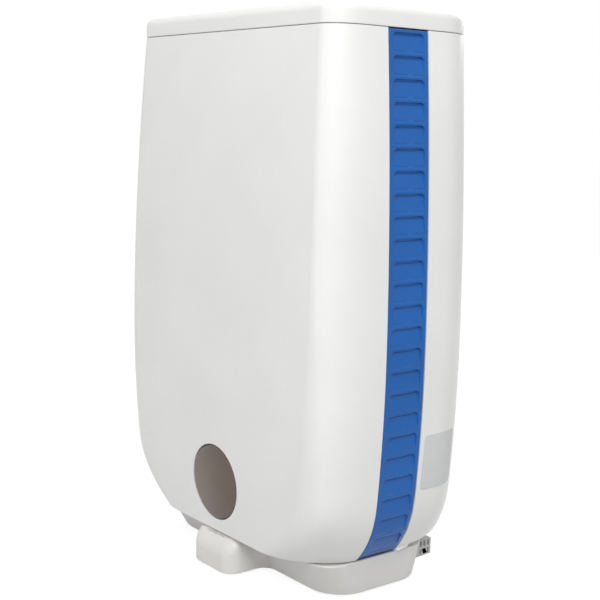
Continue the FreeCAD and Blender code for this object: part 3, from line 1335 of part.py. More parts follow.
tray_left, tray_right = "(-panel_half + tray_gap)", "(panel_half - tray_gap)"
tray_near, tray_far = "(panel_front + tray_gap)", "(panel_rear - tray_gap)"
tray_top = "(height_total - tray_depth)"
tray_under = "(height_total - tray_depth - tray_floor)"
board_top = "(height_total - tray_depth - board_drop)"
tray_solid = cut(
    block((tray_left, tray_near, tray_under), (tray_right, tray_far, "height_total - tray_rim_sink")),
    block((tray_left + " + tray_wall", tray_near + " + tray_wall", tray_top),
          (tray_right + " - tray_wall", tray_far + " - tray_wall", "height_total + 1")))
tray_holes = [rod(
    "z", "dial_shaft + running_play", ("dial_x", "button_y"), tray_under + " - 1", tray_top + " + 1")]
tray_bosses = []
for x in ("-panel_half + 5", "panel_half - 5"):
    for y in ("panel_front + 7", "panel_rear - 7"):
        tray_bosses.append(rod("z", "3", (x, y), board_top, tray_under))
lenses = []
lens_row = "(button_y - lens_offset)"
button_names = ["power", "fan", "swing", "timer"]
for i in range(int(S.button_count)):
    x = "(button_first + %d * button_pitch)" % i
    tray_holes.append(rod(
        "z", "button_radius + button_play", (x, "button_y"), tray_under + " - 1", tray_top + " + 1"))
    tray_holes.append(rod("z", "lens_radius + 0.1", (x, lens_row), tray_under + " - 1", tray_top + " + 1"))
    lenses.append(rod("z", "lens_radius", (x, lens_row), tray_under, tray_top + " + 0.3"))
    name = button_names[i] if i < len(button_names) else "extra_%d" % i
    cap_top = "button_rise"
    under = "-tray_floor - button_play"
    node("button_" + name, turned("z", (x, "button_y", tray_top), [
        ("0", "-board_drop + button_travel + 0.5"), ("stem_radius", "-board_drop + button_travel + 0.5"),
        ("stem_radius", under + " - flange_height"),
        ("button_radius + flange_width", under + " - flange_height"),
        ("button_radius + flange_width", under), ("button_radius", under),
        ("button_radius", cap_top + " - 0.8"), ("button_radius - 0.8", cap_top), ("0", cap_top)]))
node("control_tray", join(cut(tray_solid, *tray_holes), *tray_bosses))
node("indicator_lenses", group(*lenses))
control_board = block(
    ("-panel_half + 1", "panel_front + 3", board_top + " - board_thickness"),
    ("panel_half - 1", "panel_rear - 3", board_top))
encoder = block(
    ("dial_x - 6", "button_y - 6", board_top), ("dial_x + 6", "button_y + 6", board_top + " + 5"))
encoder_bore = rod(
    "z", "dial_shaft + running_play", ("dial_x", "button_y"), board_top + " + 0.6", board_top + " + 6")
node("control_board", cut(join(control_board, encoder), encoder_bore))

# Humidity dial: a turned cap on a shaft, with grip grooves and a pointer groove

body = turned("z", ("dial_x", "button_y", tray_top), [
    ("0", "-board_drop + 1"), ("dial_shaft", "-board_drop + 1"), ("dial_shaft", "0.5"),
    ("dial_radius", "0.5"), ("dial_radius", "dial_height - 1.2"),
    ("dial_radius - 1.2", "dial_height"), ("0", "dial_height")])
grip_sketch = new_sketch(body, "z", "0.5 + dial_height")
draw_outline(grip_sketch, [
    ("dial_radius - 0.7", "-0.6"), ("dial_radius + 1", "-0.6"),
    ("dial_radius + 1", "0.6"), ("dial_radius - 0.7", "0.6")])
groove = pocket(body, grip_sketch, "dial_height - 1")
around(body, groove, grip_sketch, "dial_ribs")
pointer_sketch = new_sketch(body, "z", "dial_height")
draw_outline(pointer_sketch, [
    ("dial_radius * 0.45", "-0.9"), ("dial_radius - 2.4", "-0.9"),
    ("dial_radius - 2.4", "0.9"), ("dial_radius * 0.45", "0.9")])
pocket(body, pointer_sketch, "0.8")
node("humidity_dial", body)

# Carrying recess in the rear shell

cup_rear = "(rear_reach - wall)"
cup_front = "(rear_reach - wall - carry_depth)"
carry_high = "(carry_low + carry_height)"
node("carry_cup", cut(
    block(("-carry_half - 2", cup_front, "carry_low - 2"), ("carry_half + 2", cup_rear, carry_high + " + 2")),
    block(("-carry_half", cup_front + " + 2", "carry_low"), ("carry_half", cup_rear + " + 1", carry_high))))

# Drain spigot through the rear shell, and its cap

spigot_end = "(rear_reach + spigot_proud)"
spigot = join(
    rod("y", "spigot_radius", ("spigot_x", "spigot_height"), "rear_reach - wall - 22", spigot_end),
    rod("y", "spigot_radius + 4", ("spigot_x", "spigot_height"), "rear_reach - wall - 3", "rear_reach - wall"))
node("drain_spigot", cut(spigot, rod(
    "y", "spigot_bore", ("spigot_x", "spigot_height"), "rear_reach - wall - 23", spigot_end + " + 1")))
node("drain_cap", turned("y", ("spigot_x", "rear_reach", "spigot_height"), [
    ("0", "spigot_proud + cap_gap"), ("spigot_radius + cap_gap", "spigot_proud + cap_gap"),
    ("spigot_radius + cap_gap", "0.4"), ("spigot_radius + cap_gap + cap_wall", "0.4"),
    ("spigot_radius + cap_gap + cap_wall", "spigot_proud + cap_gap + cap_wall - 0.8"),
    ("spigot_radius + cap_gap + cap_wall - 0.8", "spigot_proud + cap_gap + cap_wall"),
    ("0", "spigot_proud + cap_gap + cap_wall")]))

# Check and write every sub-part

doc.recompute()
faults = [thing.Name for thing in doc.Objects if set(thing.State) & {"Invalid", "Error"}]
for label, thing in NODES:
    if thing.Shape.isNull() or not thing.Shape.isValid() or thing.Shape.Volume <= 0:
        faults.append(label)
if faults:
    raise SystemExit("Failed: " + ", ".join(faults))
os.makedirs("parts", exist_ok=True)
for label, thing in NODES:
    thing.Shape.exportStep("parts/%s.step" % label)
    box = thing.Shape.optimalBoundingBox()
    print("%-20s %2d solids %10.1f mm3  x %7.2f %7.2f  y %7.2f %7.2f  z %7.2f %7.2f" % (
        label, len(thing.Shape.Solids), thing.Shape.Volume,
        box.XMin, box.XMax, box.YMin, box.YMax, box.ZMin, box.ZMax))
print(len(NODES), "sub-parts written")
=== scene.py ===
import logging
import math
from collections.abc import Callable, Iterable, Sequence
from dataclasses import dataclass, field
from enum import Enum

import bmesh
import bpy
from mathutils import Matrix, Vector


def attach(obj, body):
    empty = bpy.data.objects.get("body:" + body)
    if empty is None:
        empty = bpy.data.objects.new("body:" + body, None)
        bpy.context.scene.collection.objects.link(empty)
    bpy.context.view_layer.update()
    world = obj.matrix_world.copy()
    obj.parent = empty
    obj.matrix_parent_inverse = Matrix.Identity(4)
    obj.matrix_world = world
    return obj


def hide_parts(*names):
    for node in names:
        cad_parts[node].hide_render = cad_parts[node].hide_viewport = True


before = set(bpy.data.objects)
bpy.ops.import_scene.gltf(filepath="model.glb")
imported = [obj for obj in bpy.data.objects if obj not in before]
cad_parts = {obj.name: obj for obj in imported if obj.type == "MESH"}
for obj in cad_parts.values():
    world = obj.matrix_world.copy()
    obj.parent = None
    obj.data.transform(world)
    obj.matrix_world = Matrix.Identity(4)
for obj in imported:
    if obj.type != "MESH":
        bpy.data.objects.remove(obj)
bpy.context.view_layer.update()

# Looks of a floor-standing desiccant dehumidifier. Meshes are made in millimetres, in the
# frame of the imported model: +Z up, front of the casing towards -Y, origin on the floor.

LOG = logging.getLogger("dehumidifier")
MM = 0.001
WAVE_LENGTH = 6.28
Point = tuple[float, float, float]


class Body(str, Enum):
    """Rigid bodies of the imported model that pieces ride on."""

    CASING = "casing"
    FLAP = "flap"
    TANK = "tank"
    COVER_RIGHT = "side_cover_right"
    COVER_LEFT = "side_cover_left"
    POWER = "power_button"
    FAN = "fan_button"
    SWING = "swing_button"
    TIMER = "timer_button"
    DIAL = "dial"
    CAP = "spigot_cap"


class Texture(Enum):
    """How a surface was made, which decides its pattern."""

    MOULDED = "moulded"
    BRUSHED = "brushed"
    NET = "net"
    HONEYCOMB = "honeycomb"
    BOARD = "board"


# Materials


def linear(colour: str) -> tuple[float, float, float, float]:
    """Turn an sRGB hex colour into linear values.

    Args:
        colour: Six hex digits, such as "F2F2F0".

    Returns:
        Red, green, blue and alpha in linear light.
    """
    parts = [int(colour[i:i + 2], 16) / 255 for i in (0, 2, 4)]
    red, green, blue = (
        c / 12.92 if c <= 0.04045 else ((c + 0.055) / 1.055) ** 2.4 for c in parts)
    return red, green, blue, 1.0


def add_node(tree: bpy.types.NodeTree, kind: str, inputs: dict | None = None,
             **settings: object) -> bpy.types.Node:
    """Add a node with its settings, values and links.

    Args:
        tree: Node tree of a material, a world or a geometry group.
        kind: Type name of the node.
        inputs: Values or source sockets, by socket name or number.
        settings: Properties of the node.

    Returns:
        The new node.
    """
    node = tree.nodes.new(kind)
    for name, value in settings.items():
        setattr(node, name, value)
    for name, value in (inputs or {}).items():
        if isinstance(value, bpy.types.NodeSocket):
            tree.links.new(value, node.inputs[name])
        else:
            node.inputs[name].default_value = value
    return node


def new_group(name: str, inputs: dict[str, str]) -> tuple[bpy.types.NodeTree, bpy.types.NodeOutputs]:
    """Start a geometry node group that takes inputs and gives one geometry.

    Args:
        name: Name of the group.
        inputs: Kind of each input socket, by name.

    Returns:
        The group and its input sockets.
    """
    tree = bpy.data.node_groups.new(name, "GeometryNodeTree")
    for title, kind in inputs.items():
        tree.interface.new_socket(title, in_out="INPUT", socket_type="NodeSocket" + kind)
    tree.interface.new_socket("Geometry", in_out="OUTPUT", socket_type="NodeSocketGeometry")
    return tree, add_node(tree, "NodeGroupInput").outputs


@dataclass(frozen=True)
class Finish:
    """A surface finish: what the material is and how its surface was made."""

    name: str
    colour: str
    shade: str
    texture: Texture = Texture.MOULDED
    roughness: float = 0.4
    spread: float = 0.06
    grain_mm: float = 1.6
    relief_mm: float = 0.02
    metallic: float = 0.0
    coat: float = 0.0
    transmission: float = 0.0
    scatter: float = 0.0
    ior: float = 1.53

    def pattern(self, tree: bpy.types.NodeTree, place: bpy.types.NodeSocket) -> bpy.types.NodeSocket:
        """Draw the fine pattern of the surface.

        Args:
            tree: The material's node tree.
            place: Object coordinates.

        Returns:
            A height between 0 and 1.
        """
        scale = 1 / (self.grain_mm * MM)
        if self.texture is Texture.BRUSHED:
            stretched = add_node(tree, "ShaderNodeMapping", {"Vector": place, "Scale": (1.0, 1.0, 0.04)})
            return add_node(tree, "ShaderNodeTexNoise", {
                "Vector": stretched.outputs[0], "Scale": scale, "Detail": 3.0}).outputs["Fac"]
        if self.texture is Texture.NET:
            across, along = (
                add_node(tree, "ShaderNodeTexWave", {
                    "Vector": place, "Scale": scale / WAVE_LENGTH}, bands_direction=axis).outputs["Fac"]
                for axis in "YZ")
            return add_node(tree, "ShaderNodeMath", {0: across, 1: along}, operation="MAXIMUM").outputs[0]
        if self.texture is Texture.HONEYCOMB:
            return add_node(tree, "ShaderNodeTexVoronoi", {
                "Vector": place, "Scale": scale, "Randomness": 0.12},
                feature="DISTANCE_TO_EDGE").outputs["Distance"]
        if self.texture is Texture.BOARD:
            return add_node(tree, "ShaderNodeTexBrick", {
                "Vector": place, "Scale": scale, "Mortar Size": 0.03}).outputs["Fac"]
        return add_node(tree, "ShaderNodeTexNoise", {
            "Vector": place, "Scale": scale, "Detail": 4.0, "Roughness": 0.6}).outputs["Fac"]

    def material(self) -> bpy.types.Material:
        """Build the material once and reuse it."""
        title = self.name + "_finish"
        known = bpy.data.materials.get(title)
        if known:
            return known
        made = bpy.data.materials.new(title)
        made.use_nodes = True
        tree = made.node_tree
        tree.nodes.clear()
        place = add_node(tree, "ShaderNodeTexCoord").outputs["Object"]
        fine = self.pattern(tree, place)
        # broad, very faint mottling: a moulding is never one even tone
        broad = add_node(tree, "ShaderNodeTexNoise", {
            "Vector": place, "Scale": 14.0, "Detail": 3.0}).outputs["Fac"]
        both = add_node(tree, "ShaderNodeMath", {
            0: fine, 1: 0.45, 2: broad}, operation="MULTIPLY_ADD").outputs[0]
        tint = add_node(tree, "ShaderNodeValToRGB", {0: both})
        stops = zip(tint.color_ramp.elements, (0.42, 0.98), (self.colour, self.shade))
        for stop, position, colour in stops:
            stop.position = position
            stop.color = linear(colour)
        rough = add_node(tree, "ShaderNodeMapRange", {
            "Value": both, "From Min": 0.3, "From Max": 1.1,
            "To Min": self.roughness, "To Max": self.roughness + self.spread})
        bump = add_node(tree, "ShaderNodeBump", {
            "Height": fine, "Strength": 0.35, "Distance": self.relief_mm * MM})
        shader = add_node(tree, "ShaderNodeBsdfPrincipled", {
            "Base Color": tint.outputs[0], "Roughness": rough.outputs[0], "Normal": bump.outputs[0],
            "Metallic": self.metallic, "Coat Weight": self.coat, "Coat Roughness": 0.12,
            "Transmission Weight": self.transmission})
        if not self.metallic:
            shader.inputs["IOR"].default_value = self.ior
        if self.scatter:
            shader.inputs["Subsurface Weight"].default_value = self.scatter
            shader.inputs["Subsurface Scale"].default_value = 0.002
        add_node(tree, "ShaderNodeOutputMaterial", {"Surface": shader.outputs[0]})
        return made


# glossy white ABS: even, bright and slightly warm, with a soft broad highlight
WHITE_ABS = Finish("white_abs", "ECECEA", "E6E6E4", roughness=0.26, grain_mm=1.2, relief_mm=0.006, coat=0.15)
# the same ABS from a finely spark-eroded mould: satin, a little greyer
BASE_ABS = Finish("base_abs", "E2E1DE", "DAD9D6", roughness=0.42, grain_mm=0.9, relief_mm=0.02)
# blue ABS: saturated, satin gloss that catches a thin light at each lip
BLUE_ABS = Finish("blue_abs", "0A60B0", "0858A4", roughness=0.32, grain_mm=1.0, relief_mm=0.01, ior=1.4)
# smoked polycarbonate: brown-grey, polished, partly clear
SMOKED_PC = Finish(
    "smoked_window", "8A7462", "6B5646", roughness=0.07, spread=0.04, grain_mm=30.0,
    relief_mm=0.0, coat=0.2, transmission=0.45, ior=1.45)
GREY_ABS = Finish("grey_abs", "8D9093", "84878A", roughness=0.4)
PANEL_BLUE = Finish("panel_blue", "0A60B0", "0858A4", roughness=0.3, ior=1.4)
BUTTON_ABS = Finish("button_abs", "D2D4D6", "CACCCE", roughness=0.3, coat=0.1)
CHASSIS_PP = Finish("chassis_plastic", "B7B9B9", "ADAFAF", roughness=0.5)
# natural polypropylene: milky, light passes a little way into it
TANK_PP = Finish("tank_plastic", "E3E7E8", "DBDFE1", roughness=0.32, scatter=0.3)
BLACK_PLASTIC = Finish("black_plastic", "1D1D1E", "262627", roughness=0.45)
BLACK_RUBBER = Finish("black_rubber", "1A1A1A", "232323", roughness=0.8, relief_mm=0.05)
# grey moulded rubber: matte, no highlight
BOOT_RUBBER = Finish("boot_rubber", "C6C6C4", "BCBCBA", roughness=0.6, relief_mm=0.03)
FOAM = Finish("float_foam", "E8E8E4", "DADAD6", roughness=0.85, grain_mm=2.0, relief_mm=0.2)
NET_CLOTH = Finish(
    "filter_cloth", "2C2E33", "5A5D63", texture=Texture.NET, roughness=0.9, grain_mm=1.4,
    relief_mm=0.3)
# zeolite-coated honeycomb: chalky cream with fine cells
ZEOLITE = Finish(
    "zeolite", "9C927F", "E6DFCD", texture=Texture.HONEYCOMB, roughness=0.95, grain_mm=3.0,
    relief_mm=1.0)
ZINC = Finish(
    "zinc_steel", "B9BCBE", "A4A7AA", texture=Texture.BRUSHED, roughness=0.34, metallic=1.0,
    grain_mm=0.8)
ALUMINIUM = Finish(
    "pale_aluminium", "D4D6D8", "C3C6C8", texture=Texture.BRUSHED, roughness=0.4, metallic=1.0)
CIRCUIT = Finish("circuit_board", "17512C", "1E6337", texture=Texture.BOARD, roughness=0.35, grain_mm=5.0)
LENS = Finish("green_lens", "4FB36A", "459F5D", roughness=0.12, transmission=0.2)
FILM = Finish("grey_film", "D6D8D8", "CFD1D1", roughness=0.5, grain_mm=3.0, relief_mm=0.004)


# Mesh making


@dataclass
class Skin:
    """Points and faces of a piece while it is made, in millimetres."""

    points: list[Point] = field(default_factory=list)
    faces: list[tuple[int, ...]] = field(default_factory=list)

    def row(self, points: Iterable[Sequence[float]]) -> list[int]:
        """Add points and return their numbers."""
        start = len(self.points)
        self.points.extend(tuple(p) for p in points)
        return list(range(start, len(self.points)))

    def grid(self, rows: Sequence[Sequence[Sequence[float]]], closed: bool = False,
             keep: Callable[[int, int], bool] | None = None) -> None:
        """Join rows of points into a grid.

        Args:
            rows: Rows with the same number of points.
            closed: Whether each row is a loop.
            keep: Tells by row and column which cells are kept.
        """
        numbers = [self.row(points) for points in rows]
        for r, (first, second) in enumerate(zip(numbers, numbers[1:])):
            count = len(first)
            for i in range(count if closed else count - 1):
                if keep is None or keep(r, i):
                    j = (i + 1) % count
                    self.faces.append((first[i], first[j], second[j], second[i]))

    def fill(self, loops: Sequence[Sequence[Sequence[float]]], lift: Callable[[float, float], float]) -> None:
        """Fill a level area between closed loops with triangles.

        Args:
            loops: Outer loop and holes, as (x, y) or (x, y, z) points.
            lift: Height of the surface over x and y.
        """
        mesh = bmesh.new()
        edges = []
        for loop in loops:
            verts = [mesh.verts.new((p[0], p[1], 0.0)) for p in loop]
            edges += [mesh.edges.new((a, b)) for a, b in zip(verts, verts[1:] + verts[:1])]
        bmesh.ops.triangle_fill(mesh, edges=edges, use_beauty=True, normal=(0, 0, 1))
        mesh.verts.ensure_lookup_table()
        mesh.verts.index_update()
        start = len(self.points)
        self.points.extend((v.co.x, v.co.y, lift(v.co.x, v.co.y)) for v in mesh.verts)
        for face in mesh.faces:
            order = [start + v.index for v in face.verts]
            self.faces.append(tuple(order if face.normal.z > 0 else reversed(order)))
        mesh.free()

    def mesh(self, name: str, merge: float = 0.01) -> bpy.types.Mesh:
        """Turn the points and faces into a mesh in metres, with its faces outwards.

        Args:
            name: Name of the mesh.
            merge: Points closer than this many millimetres become one.

        Returns:
            The mesh, smooth shaded.
        """
        mesh = bmesh.new()
        verts = [mesh.verts.new(Vector(p) * MM) for p in self.points]
        for face in self.faces:
            if len(set(face)) == len(face):
                mesh.faces.new([verts[i] for i in face])
        bmesh.ops.remove_doubles(mesh, verts=mesh.verts, dist=merge * MM)
        bmesh.ops.dissolve_degenerate(mesh, edges=mesh.edges, dist=1e-7)
        turn_outwards(mesh)
        result = bpy.data.meshes.new(name)
        mesh.to_mesh(result)
        mesh.free()
        result.shade_smooth()
        return result


def turn_outwards(mesh: bmesh.types.BMesh) -> None:
    """Turn all faces outwards and drop loose points."""
    loose = [v for v in mesh.verts if not v.link_faces]
    bmesh.ops.delete(mesh, geom=loose, context="VERTS")
    bmesh.ops.recalc_face_normals(mesh, faces=mesh.faces)
    middle = sum((v.co for v in mesh.verts), Vector()) / len(mesh.verts)
    outermost = max(mesh.faces, key=lambda f: (f.calc_center_median() - middle).length)
    if outermost.normal.dot(outermost.calc_center_median() - middle) < 0:
        bmesh.ops.reverse_faces(mesh, faces=mesh.faces)


def evaluated(mesh: bpy.types.Mesh, modifiers: Sequence[tuple[str, dict]]) -> bpy.types.Mesh:
    """Apply modifiers to a mesh.

    Args:
        mesh: The mesh to finish.
        modifiers: Types and settings, in order.

    Returns:
        A plain mesh with the modifiers applied.
    """
    thing = bpy.data.objects.new(mesh.name, mesh)
    bpy.context.scene.collection.objects.link(thing)
    for kind, settings in modifiers:
        modifier = thing.modifiers.new(kind.title(), kind)
        for name, value in settings.items():
            setattr(modifier, name, value)
    graph = bpy.context.evaluated_depsgraph_get()
    graph.update()
    result = bpy.data.meshes.new_from_object(thing.evaluated_get(graph))
    result.name = mesh.name
    bpy.data.objects.remove(thing)
    return result


def wall(thickness: float) -> tuple[str, dict]:
    """Modifier that gives a skin its wall, inwards, in millimetres."""
    return "SOLIDIFY", {"thickness": thickness * MM, "offset": -1.0, "use_even_offset": False}


def rounded(width: float, angle: float = 40.0, segments: int = 3) -> tuple[str, dict]:
    """Modifier that rounds the edges sharper than an angle in degrees."""
    return "BEVEL", {
        "width": width * MM, "segments": segments, "limit_method": "ANGLE",
        "angle_limit": math.radians(angle), "miter_outer": "MITER_ARC",
        "use_clamp_overlap": True, "harden_normals": False}


def settled() -> tuple[str, dict]:
    """Modifier that lets the large faces decide the shading."""
    return "WEIGHTED_NORMAL", {"keep_sharp": True, "weight": 60}


def place_piece(name: str, mesh: bpy.types.Mesh, finish: Finish, body: Body,
                nodes: Sequence[str] = ()) -> bpy.types.Object:
    """Put a finished mesh into the scene as a piece of the dehumidifier.

    Args:
        name: Name of the piece.
        mesh: Its mesh in metres, already in its place.
        finish: Its surface finish.
        body: The rigid body that it rides on.
        nodes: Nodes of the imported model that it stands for.

    Returns:
        The new object.
    """
    thing = bpy.data.objects.new(name, mesh)
    bpy.context.scene.collection.objects.link(thing)
    mesh.materials.clear()
    mesh.materials.append(finish.material())
    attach(thing, body.value)
    if nodes:
        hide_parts(*nodes)
    LOG.info("%s: %d faces", name, len(mesh.polygons))
    return thing


def softened_copy(node: str, width: float, angle: float = 30.0) -> bpy.types.Mesh:
    """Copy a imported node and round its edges, as a moulding has them.

    Args:
        node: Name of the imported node.
        width: Rounding in millimetres.
        angle: Edges sharper than this many degrees are rounded.

    Returns:
        The rounded mesh.
    """
    mesh = bmesh.new()
    mesh.from_mesh(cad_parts[node].data)
    bmesh.ops.remove_doubles(mesh, verts=mesh.verts, dist=1e-6)
    bmesh.ops.dissolve_limit(
        mesh, angle_limit=math.radians(0.5), verts=mesh.verts, edges=mesh.edges)
    result = bpy.data.meshes.new(node)
    mesh.to_mesh(result)
    mesh.free()
    result.shade_smooth()
    return evaluated(result, [rounded(width, angle, 2), settled()])


def bow(points: Sequence[Sequence[float]], share: float) -> tuple[float, float]:
    """Point on a level Bezier curve.

    Args:
        points: Four (x, y) control points.
        share: Place along the curve, 0 to 1.

    Returns:
        The point's x and y.
    """
    rest = 1 - share
    weights = (rest ** 3, 3 * rest * rest * share, 3 * rest * share * share, share ** 3)
    return (sum(w * p[0] for w, p in zip(weights, points)),
            sum(w * p[1] for w, p in zip(weights, points)))


def spread(low: float, high: float, count: int) -> list[float]:
    """Evenly spread numbers from low to high, both included."""
    return [low + (high - low) * i / count for i in range(count + 1)]


def shrunk(outline: Sequence[tuple[float, float]], inset: float) -> list[tuple[float, float]]:
    """Draw a closed outline in by a distance, point by point."""
    result = []
    count = len(outline)
    for i, (x, y) in enumerate(outline):
        before, after = outline[i - 1], outline[(i + 1) % count]
        first = Vector((x - before[0], y - before[1])).normalized()
        second = Vector((after[0] - x, after[1] - y)).normalized()
        mean = (first + second).normalized()
        stretch = 1 / max(0.6, mean.dot(first))
        result.append((x - mean.y * inset * stretch, y + mean.x * inset * stretch))
    return result


# Casing


@dataclass
class CasingForm:
    """Outer form of the casing as level outlines, in millimetres."""

    bottom: float = 34.0
    seam: float = 463.0
    top: float = 480.0
    half: float = 153.9
    widest: float = 206.0
    taper: float = 11.2
    bow_power: float = 1.8
    foot_taper: float = 11.0
    foot_depth: float = 17.0
    foot_height: float = 60.0
    foot_power: float = 2.7
    front: float = 87.0
    front_lean: float = 8.2
    foot_lean: float = 5.5
    rear: float = 84.0
    rear_radius: float = 50.0
    crease: float = 21.0
    crease_narrowing: float = 3.6
    crease_growth: float = 28.0
    start_pull: float = 21.5
    end_pull: float = 25.6
    start_turn: float = 20.0
    strip_front: float = -27.2
    strip_rear: float = 15.5
    lift: float = 16.0
    soft_from: float = 300.0
    soft_run: float = 240.0
    soft_least: float = 3.2
    soft_growth: float = 11.0

    def above(self, z: float) -> float:
        """Share of the way from the widest level up to the seam."""
        return (z - self.widest) / (self.seam - self.widest)

    def below(self, z: float) -> float:
        """Share of the way from the widest level down to the bottom."""
        return (self.widest - z) / (self.widest - self.bottom)

    def near_foot(self, z: float) -> float:
        """How far a height has come down the rounded foot, 0 to 1."""
        return max(0.0, (self.bottom + self.foot_height - z) / self.foot_height)

    def half_width(self, z: float) -> float:
        """Half the casing's width at a height."""
        if z >= self.widest:
            return self.half - self.taper * self.above(z) ** self.bow_power
        foot = self.foot_depth * self.near_foot(z) ** self.foot_power
        return self.half - self.foot_taper * self.below(z) ** 2 - foot

    def front_at(self, z: float) -> float:
        """Where the front face lies at a height."""
        if z >= self.widest:
            return -self.front + self.front_lean * self.above(z) ** 2
        return -self.front + self.foot_lean * self.below(z) ** 2

    def crease_at(self, z: float) -> float:
        """Distance of the crease from the middle plane at a height."""
        inset = self.crease
        if z >= self.widest:
            inset -= self.crease_narrowing * self.above(z) ** 2
        else:
            inset += self.crease_growth * self.near_foot(z) ** 2
        return self.half_width(z) - inset

    def softness_at(self, z: float) -> float:
        """Length over which the crease is rounded: crisp at the top, fading at the foot."""
        low = max(0.0, min(1.0, (self.soft_from - z) / self.soft_run))
        return self.soft_least + self.soft_growth * low ** 1.4

    def bevel(self, z: float) -> list[tuple[float, float]]:
        """Control points of the right-hand bevel at a height."""
        side, front, crease = self.half_width(z), self.front_at(z), self.crease_at(z)
        turn = math.radians(self.start_turn)
        return [
            (crease, front),
            (crease + self.start_pull * math.cos(turn), front + self.start_pull * math.sin(turn)),
            (side, self.strip_front - self.end_pull),
            (side, self.strip_front)]

    def front_half(self, z: float, inner: Sequence[float], steps: int = 6, bends: int = 7,
                   bevels: int = 16) -> list[Point]:
        """Points from the middle plane round the crease and the bevel to the strip.

        Args:
            z: Height.
            inner: Fixed distances from the middle plane, starting at 0.
            steps: Cells from the last of those to the crease.
            bends: Cells over the crease.
            bevels: Cells over the bevel.

        Returns:
            Points of the right-hand half, at one height.
        """
        front, crease, soft = self.front_at(z), self.crease_at(z), self.softness_at(z)
        curve = self.bevel(z)
        cut = soft / (3 * self.start_pull)
        start, end = (crease - soft, front), bow(curve, cut)
        points = [(x, front) for x in inner]
        points += [(x, front) for x in spread(inner[-1], start[0], steps)[1:]]
        for t in spread(0.0, 1.0, bends)[1:]:
            points.append((
                (1 - t) ** 2 * start[0] + 2 * t * (1 - t) * crease + t * t * end[0],
                (1 - t) ** 2 * start[1] + 2 * t * (1 - t) * front + t * t * end[1]))
        points += [bow(curve, t) for t in spread(cut, 1.0, bevels)[1:]]
        return [(x, y, z) for x, y in points]

    def rear_point(self, run: float, z: float) -> tuple[float, float]:
        """Point at a length along the outline from the middle of the rear face."""
        flat = self.half_width(z) - self.rear_radius
        quarter = self.rear_radius * math.pi / 2
        if run <= flat:
            return run, self.rear
        if run <= flat + quarter:
            turn = (run - flat) / self.rear_radius
            return (flat + self.rear_radius * math.sin(turn),
                    self.rear - self.rear_radius * (1 - math.cos(turn)))
        return self.half_width(z), self.rear - self.rear_radius - (run - flat - quarter)

    def rear_run(self, x: float, z: float) -> float:
        """Length along the outline to the point at a distance from the middle plane."""
        flat = self.half_width(z) - self.rear_radius
        if x <= flat:
            return x
        return flat + self.rear_radius * math.asin(min(1.0, (x - flat) / self.rear_radius))

    def rear_length(self, z: float) -> float:
        """Length of the outline from the middle of the rear face to the strip."""
        flat = self.half_width(z) - self.rear_radius
        return flat + self.rear_radius * math.pi / 2 + self.rear - self.rear_radius - self.strip_rear

    def underside(self, y: float) -> float:
        """Height of the underside, which rises towards the rear."""
        slope = self.lift / (self.rear - self.strip_rear)
        return self.bottom + slope * max(0.0, y - self.strip_rear)


FORM = CasingForm()


def both_sides(half: Sequence[Sequence[float]]) -> list[Point]:
    """Carry a row that starts at the middle plane on to the left-hand side."""
    left = [(-p[0], p[1], p[2]) for p in reversed(half[1:])]
    return left + [tuple(p) for p in half]


